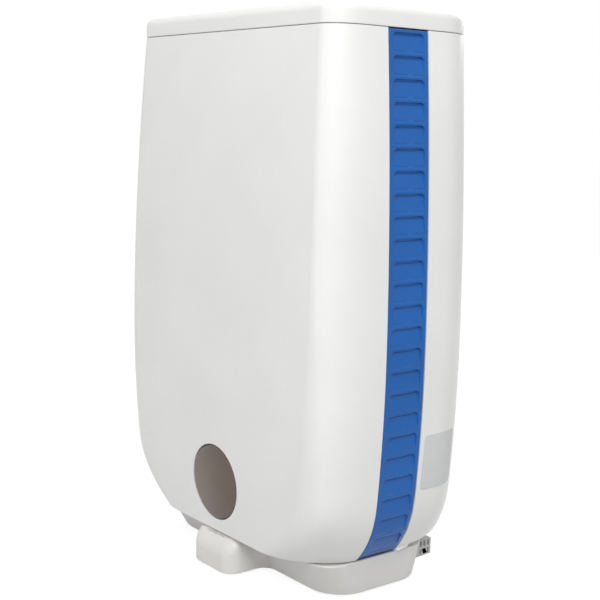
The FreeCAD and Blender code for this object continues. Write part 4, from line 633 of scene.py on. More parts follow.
@dataclass
class FrontShell:
    """Front shell with its round hole, and the smoked window in it."""

    wall_mm: float = 2.4
    edge_mm: float = 1.1
    window_height: float = 78.0
    window_radius: float = 33.0
    window_gap: float = 0.75
    block_half: float = 42.0
    block_cells: int = 24
    window_sink: float = 0.4
    window_dome: float = 2.0
    ring_shares: tuple[float, ...] = (0.0, 0.3, 0.62, 0.86, 1.0)
    pane_radii: tuple[float, ...] = (0.01, 6.0, 12.0, 18.0, 24.0, 29.0, 31.5)
    pane_cells: int = 72
    sill_cells: int = 4
    upper_cells: int = 38

    def shell(self) -> None:
        """Build and dress the shell."""
        cell = 2 * self.block_half / self.block_cells
        inner = [cell * i for i in range(self.block_cells // 2 + 1)]
        low, high = self.window_height - self.block_half, self.window_height + self.block_half
        heights = [FORM.bottom] + spread(low, high, self.block_cells)
        heights += spread(high, FORM.seam, self.upper_cells)[1:]
        rows = [both_sides(FORM.front_half(z, inner)) for z in heights]
        middle = len(rows[0]) // 2
        around = self.block_cells // 2
        skin = Skin()

        def keep(row: int, column: int) -> bool:
            """Leave out the block that holds the window's rings."""
            return not (1 <= row <= self.block_cells and middle - around <= column < middle + around)

        skin.grid(rows, keep=keep)
        for k in range(self.sill_cells):
            near, far = (
                [(x, y + (FORM.strip_front - y) * step / self.sill_cells, z) for x, y, z in rows[0]]
                for step in (k, k + 1))
            skin.grid([far, near])
        half = self.block_half
        steps = spread(-half, half, self.block_cells)[:-1]
        square = [(x, -half) for x in steps] + [(half, z) for z in steps]
        square += [(-x, half) for x in steps] + [(-half, -z) for z in steps]
        hole = self.window_radius + self.window_gap
        rings = []
        for share in self.ring_shares:
            ring = []
            for x, z in square:
                reach = math.hypot(x, z)
                px, pz = x + (x / reach * hole - x) * share, z + (z / reach * hole - z) * share
                ring.append((px, FORM.front_at(self.window_height + pz), self.window_height + pz))
            rings.append(ring)
        skin.grid(rings, closed=True)
        mesh = evaluated(skin.mesh("front_shell"), [
            wall(self.wall_mm), rounded(self.edge_mm, 38.0, 4), settled()])
        place_piece("front_shell_skin", mesh, WHITE_ABS, Body.CASING, ["front_shell"])

    def window(self) -> None:
        """Build and dress the window."""
        skin = Skin()
        rings = []
        for radius in (*self.pane_radii, self.window_radius):
            ring = []
            for i in range(self.pane_cells):
                turn = 2 * math.pi * i / self.pane_cells
                x, z = radius * math.cos(turn), self.window_height + radius * math.sin(turn)
                rise = self.window_dome * (1 - (radius / self.window_radius) ** 2)
                ring.append((x, FORM.front_at(z) + self.window_sink - rise, z))
            rings.append(ring)
        skin.grid(rings, closed=True)
        skin.faces = [tuple(reversed(face)) for face in skin.faces]
        skin.faces.append(tuple(range(self.pane_cells)))
        mesh = evaluated(skin.mesh("window", merge=0.001), [
            wall(self.wall_mm - self.window_sink), rounded(0.9, 40.0, 4), settled()])
        place_piece("tank_window_pane", mesh, SMOKED_PC, Body.CASING, ["tank_window"])

    def build(self) -> None:
        """Build both pieces."""
        self.shell()
        self.window()


@dataclass
class RearShell:
    """Rear shell with the mouths of the tank and the carrying recess."""

    wall_mm: float = 2.4
    edge_mm: float = 0.8
    tank_half: float = 96.6
    tank_low: float = 51.4
    tank_high: float = 134.6
    carry_half: float = 46.0
    carry_low: float = 424.0
    carry_high: float = 450.0
    inner_cells: int = 6
    mouth_cells: int = 5
    outer_cells: int = 18
    side_cells: int = 4
    foot_rows: int = 5
    tank_rows: int = 12
    wall_rows: int = 28
    carry_rows: int = 4
    seam_rows: int = 2
    settling: int = 12
    near: float = 0.1

    def run_at(self, column: int, z: float) -> float:
        """Length along the outline of a grid column at a height."""
        edge = FORM.rear_run(self.tank_half, z)
        inner, cells = self.inner_cells, self.inner_cells + self.mouth_cells
        if column <= inner:
            return self.carry_half * column / inner
        if column <= cells:
            return self.carry_half + (edge - self.carry_half) * (column - inner) / self.mouth_cells
        straight = FORM.rear - FORM.rear_radius - FORM.strip_rear
        bend_end = FORM.rear_length(z) - straight
        if column <= cells + self.outer_cells:
            return edge + (bend_end - edge) * (column - cells) / self.outer_cells
        return bend_end + straight * (column - cells - self.outer_cells) / self.side_cells

    def point(self, column: int, z: float) -> Point:
        """Point of a grid column at a height."""
        x, y = FORM.rear_point(self.run_at(column, z), z)
        return x, y, z

    def build(self) -> None:
        """Build and dress the shell."""
        columns = range(self.inner_cells + self.mouth_cells + self.outer_cells + self.side_cells + 1)
        lowest = []
        for column in columns:
            z = FORM.bottom
            for _ in range(self.settling):
                z = FORM.underside(self.point(column, z)[1])
            lowest.append(z)
        rows = []
        for share in spread(0.0, 1.0, self.foot_rows):
            rows.append(both_sides([
                self.point(c, lowest[c] + (self.tank_low - lowest[c]) * share) for c in columns]))
        heights = spread(self.tank_low, self.tank_high, self.tank_rows)[1:]
        heights += spread(self.tank_high, self.carry_low, self.wall_rows)[1:]
        heights += spread(self.carry_low, self.carry_high, self.carry_rows)[1:]
        heights += spread(self.carry_high, FORM.seam, self.seam_rows)[1:]
        rows += [both_sides([self.point(c, z) for c in columns]) for z in heights]
        middle = len(rows[0]) // 2
        level = [row[0][2] for row in rows]

        def keep(row: int, column: int) -> bool:
            """Leave out the cells of the two mouths."""
            low, high = level[row], level[row + 1]
            away = column - middle if column >= middle else middle - 1 - column
            in_tank = (away < self.inner_cells + self.mouth_cells
                       and low > self.tank_low - self.near and high < self.tank_high + self.near)
            in_carry = (away < self.inner_cells
                        and low > self.carry_low - self.near and high < self.carry_high + self.near)
            return not (in_tank or in_carry)

        skin = Skin()
        skin.grid([list(reversed(row)) for row in rows], keep=lambda r, c: keep(r, len(rows[0]) - 2 - c))
        # underside: rings from the bottom edge to the strip, whose ends are the sides' own lowest points
        bottom, ends = rows[0], self.side_cells
        rings = []
        for k in range(ends + 1):
            left, right = bottom[ends - k], bottom[len(bottom) - 1 - ends + k]
            ring = [left]
            for x, y, _ in bottom[ends + 1:len(bottom) - 1 - ends]:
                back = y + (FORM.strip_rear - y) * k / ends
                ring.append((x * right[0] / bottom[len(bottom) - 1 - ends][0], back, FORM.underside(back)))
            rings.append(ring + [right])
        skin.grid(rings)
        mesh = evaluated(skin.mesh("rear_shell"), [
            wall(self.wall_mm), rounded(self.edge_mm, 38.0, 3), settled()])
        place_piece("rear_shell_skin", mesh, WHITE_ABS, Body.CASING, ["rear_shell"])


@dataclass
class TopCover:
    """Top cover: the casing's outline carried up to a rounded edge, with its two openings."""

    wall_mm: float = 2.4
    gap: float = 0.5
    edge: float = 6.5
    outlet: tuple[float, float, float] = (76.0, 9.0, 56.4)
    panel: tuple[float, float, float] = (98.0, -70.0, -18.0)
    corner: float = 3.0
    side_end: float = 34.0
    skirt: float = 3.0
    front_flat: float = 40.0

    def outline(self) -> list[tuple[float, float]]:
        """Closed outline of the cover, anticlockwise from the middle of the front."""
        flat_part = [0.0, self.front_flat]
        half = [(x, y) for x, y, _ in FORM.front_half(FORM.seam, flat_part, steps=6, bends=6, bevels=18)]
        half += [(FORM.half_width(FORM.seam), y) for y in spread(FORM.strip_front, self.side_end, 6)[1:]]
        length = FORM.rear_length(FORM.seam) - (self.side_end - FORM.strip_rear)
        flat = FORM.half_width(FORM.seam) - FORM.rear_radius
        half += [FORM.rear_point(run, FORM.seam) for run in spread(length, flat, 16)[1:]]
        half += [(flat * (1 - i / 4), FORM.rear) for i in range(1, 5)]
        return half + [(-x, y) for x, y in reversed(half[1:-1])]

    def opening(self, half: float, low: float, high: float) -> list[tuple[float, float]]:
        """Loop of an opening with rounded corners."""
        loop = []
        r = self.corner
        for cx, cy, start in ((half - r, high - r, 0), (r - half, high - r, 90),
                              (r - half, low + r, 180), (half - r, low + r, 270)):
            for i in range(6):
                turn = math.radians(start + 18 * i)
                loop.append((cx + r * math.cos(turn), cy + r * math.sin(turn)))
        return loop

    def build(self) -> None:
        """Build and dress the cover."""
        outline = self.outline()
        skin = Skin()
        rings = [[(x, y, FORM.seam + self.gap) for x, y in outline],
                 [(x, y, FORM.seam + self.gap + self.skirt) for x, y in outline]]
        for turn in (math.radians(angle) for angle in spread(0.0, 90.0, 8)):
            inset = self.edge * (1 - math.cos(turn))
            height = FORM.top - self.edge + self.edge * math.sin(turn)
            rings.append([(x, y, height) for x, y in shrunk(outline, inset)])
        skin.grid(rings, closed=True)
        skin.fill(
            [rings[-1], self.opening(*self.outlet), self.opening(*self.panel)], lambda x, y: FORM.top)
        mesh = evaluated(skin.mesh("top_cover"), [
            wall(self.wall_mm), rounded(0.7, 50.0, 3), settled()])
        place_piece("top_cover_skin", mesh, WHITE_ABS, Body.CASING, ["top_cover"])


# Side strips


@dataclass
class LouvreStrip:
    """Side strip with its column of louvres, each deepest under its lip."""

    count: int = 24
    pitch: float = 17.6
    first_lip: float = 459.8
    margin: float = 1.5
    front: float = -26.8
    rear: float = 14.6
    low: float = 36.2
    high: float = 462.5
    middle: float = -5.85
    width: float = 33.0
    height: float = 14.6
    depth: float = 2.3
    corner: float = 4.0
    lip_zone: float = 0.9
    rim_grow: float = 0.45
    lip_grow: float = 0.14
    lip_sink: float = 0.12
    edge_sink: float = 0.5
    foot_grow: float = -0.02
    side_shares: tuple[float, ...] = (0.0, 0.2, 0.42, 0.64, 0.84)
    bend_cells: int = 7
    merge: float = 0.02
    thickness: float = 3.2
    skin_mm: float = 0.9
    edge: tuple[tuple[float, float], ...] = ((0.8, 0.0), (0.4, 0.11), (0.11, 0.4), (0.0, 0.8))

    def hood(self, grow: float) -> list[tuple[float, float]]:
        """The inverted U of one louvre, from its lower left round the lip to its lower right.

        Args:
            grow: How far the U is widened.

        Returns:
            Points as (across, height under the lip).
        """
        half, r = self.width / 2 + grow, self.corner + grow
        side = [(-half, -self.height + (self.height - self.corner) * t) for t in self.side_shares]
        bend = []
        for i in range(self.bend_cells + 1):
            turn = math.radians(180 - 90 * i / self.bend_cells)
            bend.append((-half + r + r * math.cos(turn), -self.corner + r * math.sin(turn)))
        left = side + bend
        top = [(u, grow) for u in spread(left[-1][0], -left[-1][0], 6)[1:-1]]
        return left + top + [(-u, v) for u, v in reversed(left)]

    def hollow(self, v: float) -> float:
        """Depth of the louvre at a height under its lip."""
        share = min(1.0, max(0.0, 1 + v / self.height))
        return self.depth * share

    def tile(self) -> Skin:
        """One louvre with the flush band around it; x is outwards, the lip lies at z 0."""
        skin = Skin()
        rim = [(u, v, 0.0) for u, v in self.hood(self.rim_grow)]
        lip = [(u, v, self.lip_sink) for u, v in self.hood(self.lip_grow)]
        edge = [(u, v, min(self.edge_sink, self.hollow(v))) for u, v in self.hood(0.0)]
        foot = [(u, v, self.hollow(v)) for u, v in self.hood(self.foot_grow)]

        def placed(row: Sequence[Point]) -> list[Point]:
            """Turn (across, height, depth) into a point."""
            return [(-d, self.middle + u, v) for u, v, d in row]

        skin.grid([placed(rim), placed(lip), placed(edge), placed(foot)])
        count = len(foot)
        for i in range(count // 2 - 1):
            a, b = foot[i], foot[i + 1]
            if abs(a[1] - b[1]) < 1e-6 or b[1] > -self.lip_zone:
                continue
            left = spread(a[0], -a[0], 6)
            upper = spread(b[0], -b[0], 6)
            skin.grid([placed([(u, a[1], a[2]) for u in left]), placed([(u, b[1], b[2]) for u in upper])])
        high = [p for p in foot if p[1] > -self.lip_zone - 0.0001]
        start = next(p for p in reversed(foot[:count // 2]) if p[1] <= -self.lip_zone)
        loop = [start] + high + [(-start[0], start[1], start[2])]
        self.flat_fill(skin, [[(u, v) for u, v, _ in loop]], placed)
        half_low, half_high = self.front - self.middle, self.rear - self.middle
        inner = [(u, v) for u, v, _ in rim]
        top, bottom = self.margin, self.margin - self.pitch
        sill = [(u, inner[0][1]) for u in spread(inner[0][0], inner[-1][0], 6)]
        flush = spread(half_low + self.edge[0][0], half_high - self.edge[0][0], 8)
        outer = [(u, bottom) for u in flush] + [(u, top) for u in reversed(flush)]
        self.flat_fill(skin, [outer, inner + list(reversed(sill[1:-1]))], placed)
        sill_edge = [(u, v, 0.0) for u, v in sill]
        skin.grid([placed(sill_edge), placed([(u, foot[0][1], 0.0) for u, _, _ in sill_edge])])
        for side, limit in ((-1, half_low), (1, half_high)):
            profile = [(limit - side * inset, d) for inset, d in self.edge] + [(limit, self.thickness)]
            rows = [placed([(u, v, d) for u, d in profile]) for v in (bottom, top)]
            skin.grid(rows if side < 0 else [list(reversed(r)) for r in rows])
        return skin

    def flat_fill(self, skin: Skin, loops: Sequence[Sequence[tuple[float, float]]],
                  placed: Callable[[Sequence[Point]], list[Point]]) -> None:
        """Fill loops in the plane of the strip.

        Args:
            skin: Where the faces go.
            loops: Outer loop and holes.
            placed: Turns (across, height, depth) into a point.
        """
        flat = Skin()
        flat.fill(loops, lambda u, v: 0.0)
        inside = len(loops) == 1
        start = len(skin.points)
        skin.points.extend(placed([(u, v, self.hollow(v) if inside else 0.0) for u, v, _ in flat.points]))
        skin.faces.extend(tuple(start + i for i in face) for face in flat.faces)

    def ends(self) -> Skin:
        """Flush bands above the first louvre and below the last."""
        skin = Skin()
        top = self.first_lip + self.margin
        foot = top - self.count * self.pitch
        for low, high in ((self.low, foot), (top, self.high)):
            closing = self.high if high == self.high else self.low
            flush = spread(self.front + self.edge[0][0], self.rear - self.edge[0][0], 8)
            profile = [(self.front, self.thickness)]
            profile += [(self.front + inset, d) for inset, d in reversed(self.edge[1:])]
            profile += [(y, 0.0) for y in flush]
            profile += [(self.rear - inset, d) for inset, d in self.edge[1:]]
            profile.append((self.rear, self.thickness))
            rows = [[(-d, y, z) for y, d in profile] for z in (low, high)]
            skin.grid(rows)
            lid = [[(-d, y, closing) for y, d in profile],
                   [(-self.thickness, y, closing) for y, _ in profile]]
            skin.grid(lid if closing == self.high else list(reversed(lid)))
        return skin

    def tree(self) -> bpy.types.NodeTree:
        """Geometry nodes: repeat the louvre down the strip and lay the strip on the casing's form."""
        tree, given = new_group("louvre_strip", {
            "Geometry": "Geometry", "Louvre": "Object", "Count": "Int", "Pitch": "Float",
            "First Lip": "Float", "Half Width": "Float", "Side": "Float"})

        def sums(operation: str, first: object, second: object) -> bpy.types.NodeSocket:
            """One step of arithmetic."""
            return add_node(tree, "ShaderNodeMath", {0: first, 1: second}, operation=operation).outputs[0]

        start = add_node(tree, "ShaderNodeCombineXYZ", {"Z": given["First Lip"]}).outputs[0]
        step = add_node(tree, "ShaderNodeCombineXYZ", {
            "Z": sums("MULTIPLY", given["Pitch"], -1.0)}).outputs[0]
        line = add_node(tree, "GeometryNodeMeshLine", {
            "Count": given["Count"], "Start Location": start, "Offset": step}, mode="OFFSET")
        louvre = add_node(tree, "GeometryNodeObjectInfo", {"Object": given["Louvre"]})
        copies = add_node(tree, "GeometryNodeInstanceOnPoints", {
            "Points": line.outputs[0], "Instance": louvre.outputs["Geometry"]})
        real = add_node(tree, "GeometryNodeRealizeInstances", {0: copies.outputs[0]})
        whole = add_node(tree, "GeometryNodeJoinGeometry")
        tree.links.new(real.outputs[0], whole.inputs[0])
        tree.links.new(given["Geometry"], whole.inputs[0])
        merged = add_node(tree, "GeometryNodeMergeByDistance", {
            "Geometry": whole.outputs[0], "Distance": self.merge})
        place = add_node(tree, "GeometryNodeInputPosition").outputs[0]
        spot = add_node(tree, "ShaderNodeSeparateXYZ", {0: place})
        height = spot.outputs["Z"]
        reach = given["Half Width"]
        for high, low, depth, power in (
                (FORM.seam, FORM.widest, FORM.taper, FORM.bow_power),
                (FORM.bottom, FORM.widest, FORM.foot_taper, 2.0),
                (FORM.bottom, FORM.bottom + FORM.foot_height, FORM.foot_depth, FORM.foot_power)):
            share = sums("DIVIDE", sums("SUBTRACT", height, low), high - low)
            fall = sums("MULTIPLY", sums("POWER", sums("MAXIMUM", share, 0.0), power), depth)
            reach = sums("SUBTRACT", reach, fall)
        across = sums("MULTIPLY", sums("ADD", reach, spot.outputs["X"]), given["Side"])
        laid = add_node(tree, "ShaderNodeCombineXYZ", {
            "X": across, "Y": spot.outputs["Y"], "Z": height}).outputs[0]
        moved = add_node(tree, "GeometryNodeSetPosition", {"Geometry": merged.outputs[0], "Position": laid})
        mirrored = add_node(tree, "FunctionNodeCompare", {0: given["Side"], 1: 0.0}, operation="LESS_THAN")
        flipped = add_node(tree, "GeometryNodeFlipFaces", {"Mesh": moved.outputs[0]})
        chosen = add_node(tree, "GeometryNodeSwitch", {
            "Switch": mirrored.outputs[0], "False": moved.outputs[0], "True": flipped.outputs[0]},
            input_type="GEOMETRY")
        add_node(tree, "NodeGroupOutput", {0: chosen.outputs[0]})
        return tree

    def build(self) -> None:
        """Build and dress both strips."""
        tree = self.tree()
        tile = bpy.data.objects.new("louvre", self.tile().mesh("louvre"))
        tile.data.transform(Matrix.Scale(1 / MM, 4))
        for name, side, body in (("right", 1.0, Body.COVER_RIGHT), ("left", -1.0, Body.COVER_LEFT)):
            base = self.ends().mesh("strip_ends")
            base.transform(Matrix.Scale(1 / MM, 4))
            mesh = grown(base, tree, {
                "Louvre": tile, "Count": self.count, "Pitch": self.pitch, "First Lip": self.first_lip,
                "Half Width": FORM.half, "Side": side})
            mesh.transform(Matrix.Scale(MM, 4))
            shape = bmesh.new()
            shape.from_mesh(mesh)
            turn_outwards(shape)
            shape.to_mesh(mesh)
            shape.free()
            mesh.shade_smooth()
            mesh = evaluated(mesh, [wall(self.skin_mm), settled()])
            place_piece("louvre_strip_" + name, mesh, BLUE_ABS, body, ["side_strip_" + name])
        bpy.data.objects.remove(tile)


def grown(base: bpy.types.Mesh, tree: bpy.types.NodeTree, values: dict) -> bpy.types.Mesh:
    """Run a geometry node tree on a mesh.

    Args:
        base: The mesh that the tree starts from.
        tree: The node group.
        values: Values of the tree's inputs, by name.

    Returns:
        The result as a plain mesh.
    """
    thing = bpy.data.objects.new(base.name, base)
    bpy.context.scene.collection.objects.link(thing)
    modifier = thing.modifiers.new("Growth", "NODES")
    modifier.node_group = tree
    for item in tree.interface.items_tree:
        if item.item_type == "SOCKET" and item.in_out == "INPUT" and item.name in values:
            modifier[item.identifier] = values[item.name]
    graph = bpy.context.evaluated_depsgraph_get()
    graph.update()
    result = bpy.data.meshes.new_from_object(thing.evaluated_get(graph))
    bpy.data.objects.remove(thing)
    return result


# Base and fasteners


@dataclass
class Base:
    """Base: a wide hollow bar with rounded corners and a broad foot reaching forward."""

    low: float = 2.0
    high: float = 34.0
    drop: float = 1.4
    side: tuple[float, float] = (122.0, 126.0)
    front: tuple[float, float] = (47.0, 62.0)
    rear: float = 58.0
    corner: tuple[float, float] = (30.0, 21.0)
    foot_half: float = 30.0
    foot_reach: float = 89.0
    foot_corner: float = 14.0
    foot_root: float = 11.0
    slope_start: float = -77.5
    slope_run: float = 12.5
    slope_fall: float = 11.0
    slope_power: float = 1.25
    steps: int = 10
    tip_cells: int = 8
    rim_cells: int = 7
    foot_rim: float = 8.5
    rim_mm: float = 1.6
    foot_line: float = -58.0
    foot_fade: float = 10.0
    foot_side: float = 46.0
    side_fade: float = 8.0
    lower_edge: tuple[tuple[float, float], ...] = (
        (1.5, 0.0), (0.45, 0.015), (0.0, 0.05), (0.0, 0.3), (0.0, 0.6), (0.0, 1.0))
    wall_mm: float = 3.0

    def loop(self, z: float) -> list[tuple[float, float]]:
        """Level outline at a height, anticlockwise from the right of the foot's tip."""
        share = (z - self.low) / (self.high - self.low)
        front = self.front[0] + (self.front[1] - self.front[0]) * share
        side = self.side[0] + (self.side[1] - self.side[0]) * share
        corner = self.corner[0] + (self.corner[1] - self.corner[0]) * share
        right = [(self.foot_half, -self.foot_reach, self.foot_corner),
                 (self.foot_half, -front, self.foot_root),
                 (side, -front, corner), (side, self.rear, corner)]
        corners = right + [(-x, y, r) for x, y, r in reversed(right)]
        points = []
        for i, (x, y, radius) in enumerate(corners):
            here = Vector((x, y))
            before = (Vector(corners[i - 1][:2]) - here).normalized()
            after = (Vector(corners[(i + 1) % len(corners)][:2]) - here).normalized()
            half_turn = before.angle(after) / 2
            centre = here + (before + after).normalized() * (radius / math.sin(half_turn))
            start = here + before * (radius / math.tan(half_turn)) - centre
            end = here + after * (radius / math.tan(half_turn)) - centre
            full = start.angle(end)
            for k in range(self.steps + 1):
                t = k / self.steps
                spot = (start * math.sin((1 - t) * full) + end * math.sin(t * full)) / math.sin(full)
                points.append((centre.x + spot.x, centre.y + spot.y))
        (x0, y0), (x1, _) = points[-1], points[0]
        return points + [(x, y0) for x in spread(x0, x1, self.tip_cells)[1:-1]]

    def top_at(self, y: float) -> float:
        """Height of the base's top: level under the casing, falling towards the foot's tip."""
        share = min(1.0, max(0.0, (self.slope_start - y) / self.slope_run))
        return self.high - self.drop - (self.slope_fall - self.drop) * share ** self.slope_power

    def rim(self, x: float, y: float) -> float:
        """Rounding of the rim: broad on the foot, small elsewhere."""
        ahead = min(1.0, max(0.0, (self.foot_line - y) / self.foot_fade))
        within = min(1.0, max(0.0, (self.foot_side - abs(x)) / self.side_fade))
        return self.rim_mm + (self.foot_rim - self.rim_mm) * ahead * within

    def build(self) -> None:
        """Build and dress the base."""
        rings = []
        tops = [(self.rim(x, y), self.top_at(y)) for x, y in self.loop(self.high)]
        count = len(tops)
        for inset, share in self.lower_edge:
            ring = []
            for i, (rim, top) in enumerate(tops):
                z = self.low + (top - rim - self.low) * share
                x, y = shrunk(self.loop(z), inset)[i]
                ring.append((x, y, z))
            rings.append(ring)
        for turn in spread(0.0, math.pi / 2, self.rim_cells)[1:]:
            ring = []
            for i, (rim, top) in enumerate(tops):
                z = top - rim + rim * math.sin(turn)
                x, y = shrunk(self.loop(z), rim * (1 - math.cos(turn)))[i]
                ring.append((x, y, self.top_at(y) - rim + rim * math.sin(turn)))
            rings.append(ring)
        skin = Skin()
        skin.grid(rings, closed=True)
        last = rings[-1]
        foot = 2 * (self.steps + 1)
        turns = count - self.tip_cells + 1
        rows = []
        for i in range(foot):
            left, (right, y, z) = last[turns - 1 - i][0], last[i]
            rows.append([(x, y, z) for x in spread(left, right, self.tip_cells)])
        skin.grid(rows)
        flat = [p[:2] for p in last[foot - 1:turns - foot + 1]] + [p[:2] for p in rows[-1][1:-1]]
        skin.fill([flat], lambda x, y: self.top_at(y))
        mesh = evaluated(skin.mesh("base"), [wall(self.wall_mm), settled()])
        place_piece("base_moulding", mesh, BASE_ABS, Body.CASING, ["base"])


def turned(profile: Sequence[tuple[float, float]], sides: int) -> Skin:
    """A turned shape around Z.

    Args:
        profile: Pairs of radius and height, from one pole to the other.
        sides: Cells around.

    Returns:
        The shape's skin, with both poles closed.
    """
    skin = Skin()
    rings = []
    for radius, height in profile[1:-1]:
        rings.append([(radius * math.cos(2 * math.pi * i / sides),
                       radius * math.sin(2 * math.pi * i / sides), height) for i in range(sides)])
    skin.grid(rings, closed=True)
    for end, ring in ((profile[0], rings[0]), (profile[-1], rings[-1])):
        pole = skin.row([(0.0, 0.0, end[1])])[0]
        loop = skin.row(ring)
        for i in range(sides):
            skin.faces.append((pole, loop[i], loop[(i + 1) % sides]))
    return skin


@dataclass
class Studs:
    """Small pieces that repeat at set places: rubber pads, their bosses and the screws."""

    pad_spots: tuple[Point, ...] = (
        (92.0, -23.0, 0.0), (-92.0, -23.0, 0.0), (92.0, 34.0, 0.0), (-92.0, 34.0, 0.0), (0.0, -73.0, 0.0))
    rear_screws: tuple[Point, ...] = (
        (90.0, 84.0, 186.0), (-90.0, 84.0, 186.0), (90.0, 84.0, 430.0), (-90.0, 84.0, 430.0))
    base_screws: tuple[Point, ...] = ((60.0, -6.0, 31.0), (-60.0, -6.0, 31.0))
    cross_half: float = 0.42
    cross_reach: float = 2.2
    cross_depth: float = 0.9
    cross_fade: float = 3.2
    cross_above: float = 1.5

    def tree(self) -> bpy.types.NodeTree:
        """Geometry nodes: stand a piece on each point, turned as the point says."""
        tree, given = new_group("studs", {"Geometry": "Geometry", "Piece": "Object"})
        points = add_node(tree, "GeometryNodeMeshToPoints", {0: given["Geometry"]})
        turn = add_node(tree, "GeometryNodeInputNamedAttribute", {"Name": "turn"}, data_type="FLOAT_VECTOR")
        piece = add_node(tree, "GeometryNodeObjectInfo", {"Object": given["Piece"]})
        copies = add_node(tree, "GeometryNodeInstanceOnPoints", {
            "Points": points.outputs[0], "Instance": piece.outputs["Geometry"],
            "Rotation": turn.outputs[0]})
        real = add_node(tree, "GeometryNodeRealizeInstances", {0: copies.outputs[0]})
        add_node(tree, "NodeGroupOutput", {0: real.outputs[0]})
        return tree

    def spots(self, places: Sequence[tuple[Point, Point]]) -> bpy.types.Mesh:
        """Points with the turn of the piece that stands on each.

        Args:
            places: Pairs of a place in millimetres and a turn in radians.

        Returns:
            A mesh of loose points.
        """
        mesh = bpy.data.meshes.new("spots")
        mesh.from_pydata([Vector(place) * MM for place, _ in places], [], [])
        turns = mesh.attributes.new("turn", "FLOAT_VECTOR", "POINT")
        for item, (_, turn) in zip(turns.data, places):
            item.vector = turn
        return mesh

    def pad(self) -> Skin:
        """One rubber pad with a shallow ring in its foot."""
        return turned([
            (0, 0.5), (5.6, 0.5), (6.2, 0.0), (9.4, 0.0), (9.85, 0.15), (10.0, 0.6),
            (10.0, 1.7), (9.8, 2.0), (0, 2.0)], 40)

    def boss(self) -> Skin:
        """One hollow boss that holds a pad under the base."""
        return turned([
            (0, 2.05), (9.0, 2.05), (9.4, 2.3), (9.5, 2.8), (9.5, 30.4), (0, 30.4)], 32)

    def screw(self) -> Skin:
        """One pan-head screw with a cross recess; its seat lies at z 0."""
        skin = turned([
            (0, -10.0), (1.2, -10.0), (1.5, -9.4), (1.5, 0.0), (3.9, 0.0), (4.0, 0.3), (3.95, 0.8),
            (3.6, 1.3), (3.0, 1.58), (2.5, 1.68), (2.1, 1.73), (1.7, 1.76), (1.3, 1.78), (0.9, 1.79),
            (0.5, 1.8), (0, 1.8)], 48)
        deep = []
        for x, y, z in skin.points:
            near, far = sorted((abs(x), abs(y)))
            arm = near < self.cross_half and far < self.cross_reach and z > self.cross_above
            deep.append((x, y, z - self.cross_depth * (1 - far / self.cross_fade) if arm else z))
        skin.points = deep
        return skin

    def build(self) -> None:
        """Build and dress pads, bosses and screws."""
        tree = self.tree()
        level = (0.0, 0.0, 0.0)
        pads = [(place, level) for place in self.pad_spots]
        screws = [(place, (-math.pi / 2, 0.0, 0.0)) for place in self.rear_screws]
        screws += [(place, (math.pi, 0.0, 0.0)) for place in self.base_screws]
        for name, skin, places, finish, nodes in (
                ("rubber_pads_moulded", self.pad(), pads, BLACK_RUBBER, ["rubber_pads"]),
                ("pad_bosses", self.boss(), pads, BASE_ABS, []),
                ("case_screws_cross", self.screw(), screws, ZINC, ["case_screws"])):
            piece = bpy.data.objects.new(name + "_one", skin.mesh(name))
            mesh = grown(self.spots(places), tree, {"Piece": piece})
            bpy.data.objects.remove(piece)
            mesh.shade_smooth()
            place_piece(name, evaluated(mesh, [settled()]), finish, Body.CASING, nodes)


@dataclass
class CordBoot:
    """Boot around the cord's passage: slotted, and tapered towards its tip."""

    axis: tuple[float, float] = (106.0, 22.5)
    taper_from: float = 58.0
    tip: float = 71.0
    bore: float = 4.2
    narrowing: float = 0.1
    narrowing_power: float = 1.3
    bore_rim: float = 0.9
    edge_mm: float = 0.12

    def build(self) -> None:
        """Build and dress the boot; its bore keeps its size."""
        mesh = softened_copy("cord_gland", self.edge_mm)
        for vertex in mesh.vertices:
            x, y, z = vertex.co / MM
            share = min(1.0, max(0.0, (y - self.taper_from) / (self.tip - self.taper_from)))
            if math.hypot(x - self.axis[0], z - self.axis[1]) > self.bore + self.bore_rim:
                size = 1.0 - self.narrowing * share ** self.narrowing_power
                vertex.co.x = (self.axis[0] + (x - self.axis[0]) * size) * MM
                vertex.co.z = (self.axis[1] + (z - self.axis[1]) * size) * MM
        place_piece("cord_boot", mesh, BOOT_RUBBER, Body.CASING, ["cord_gland"])


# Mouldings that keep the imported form, with their edges rounded


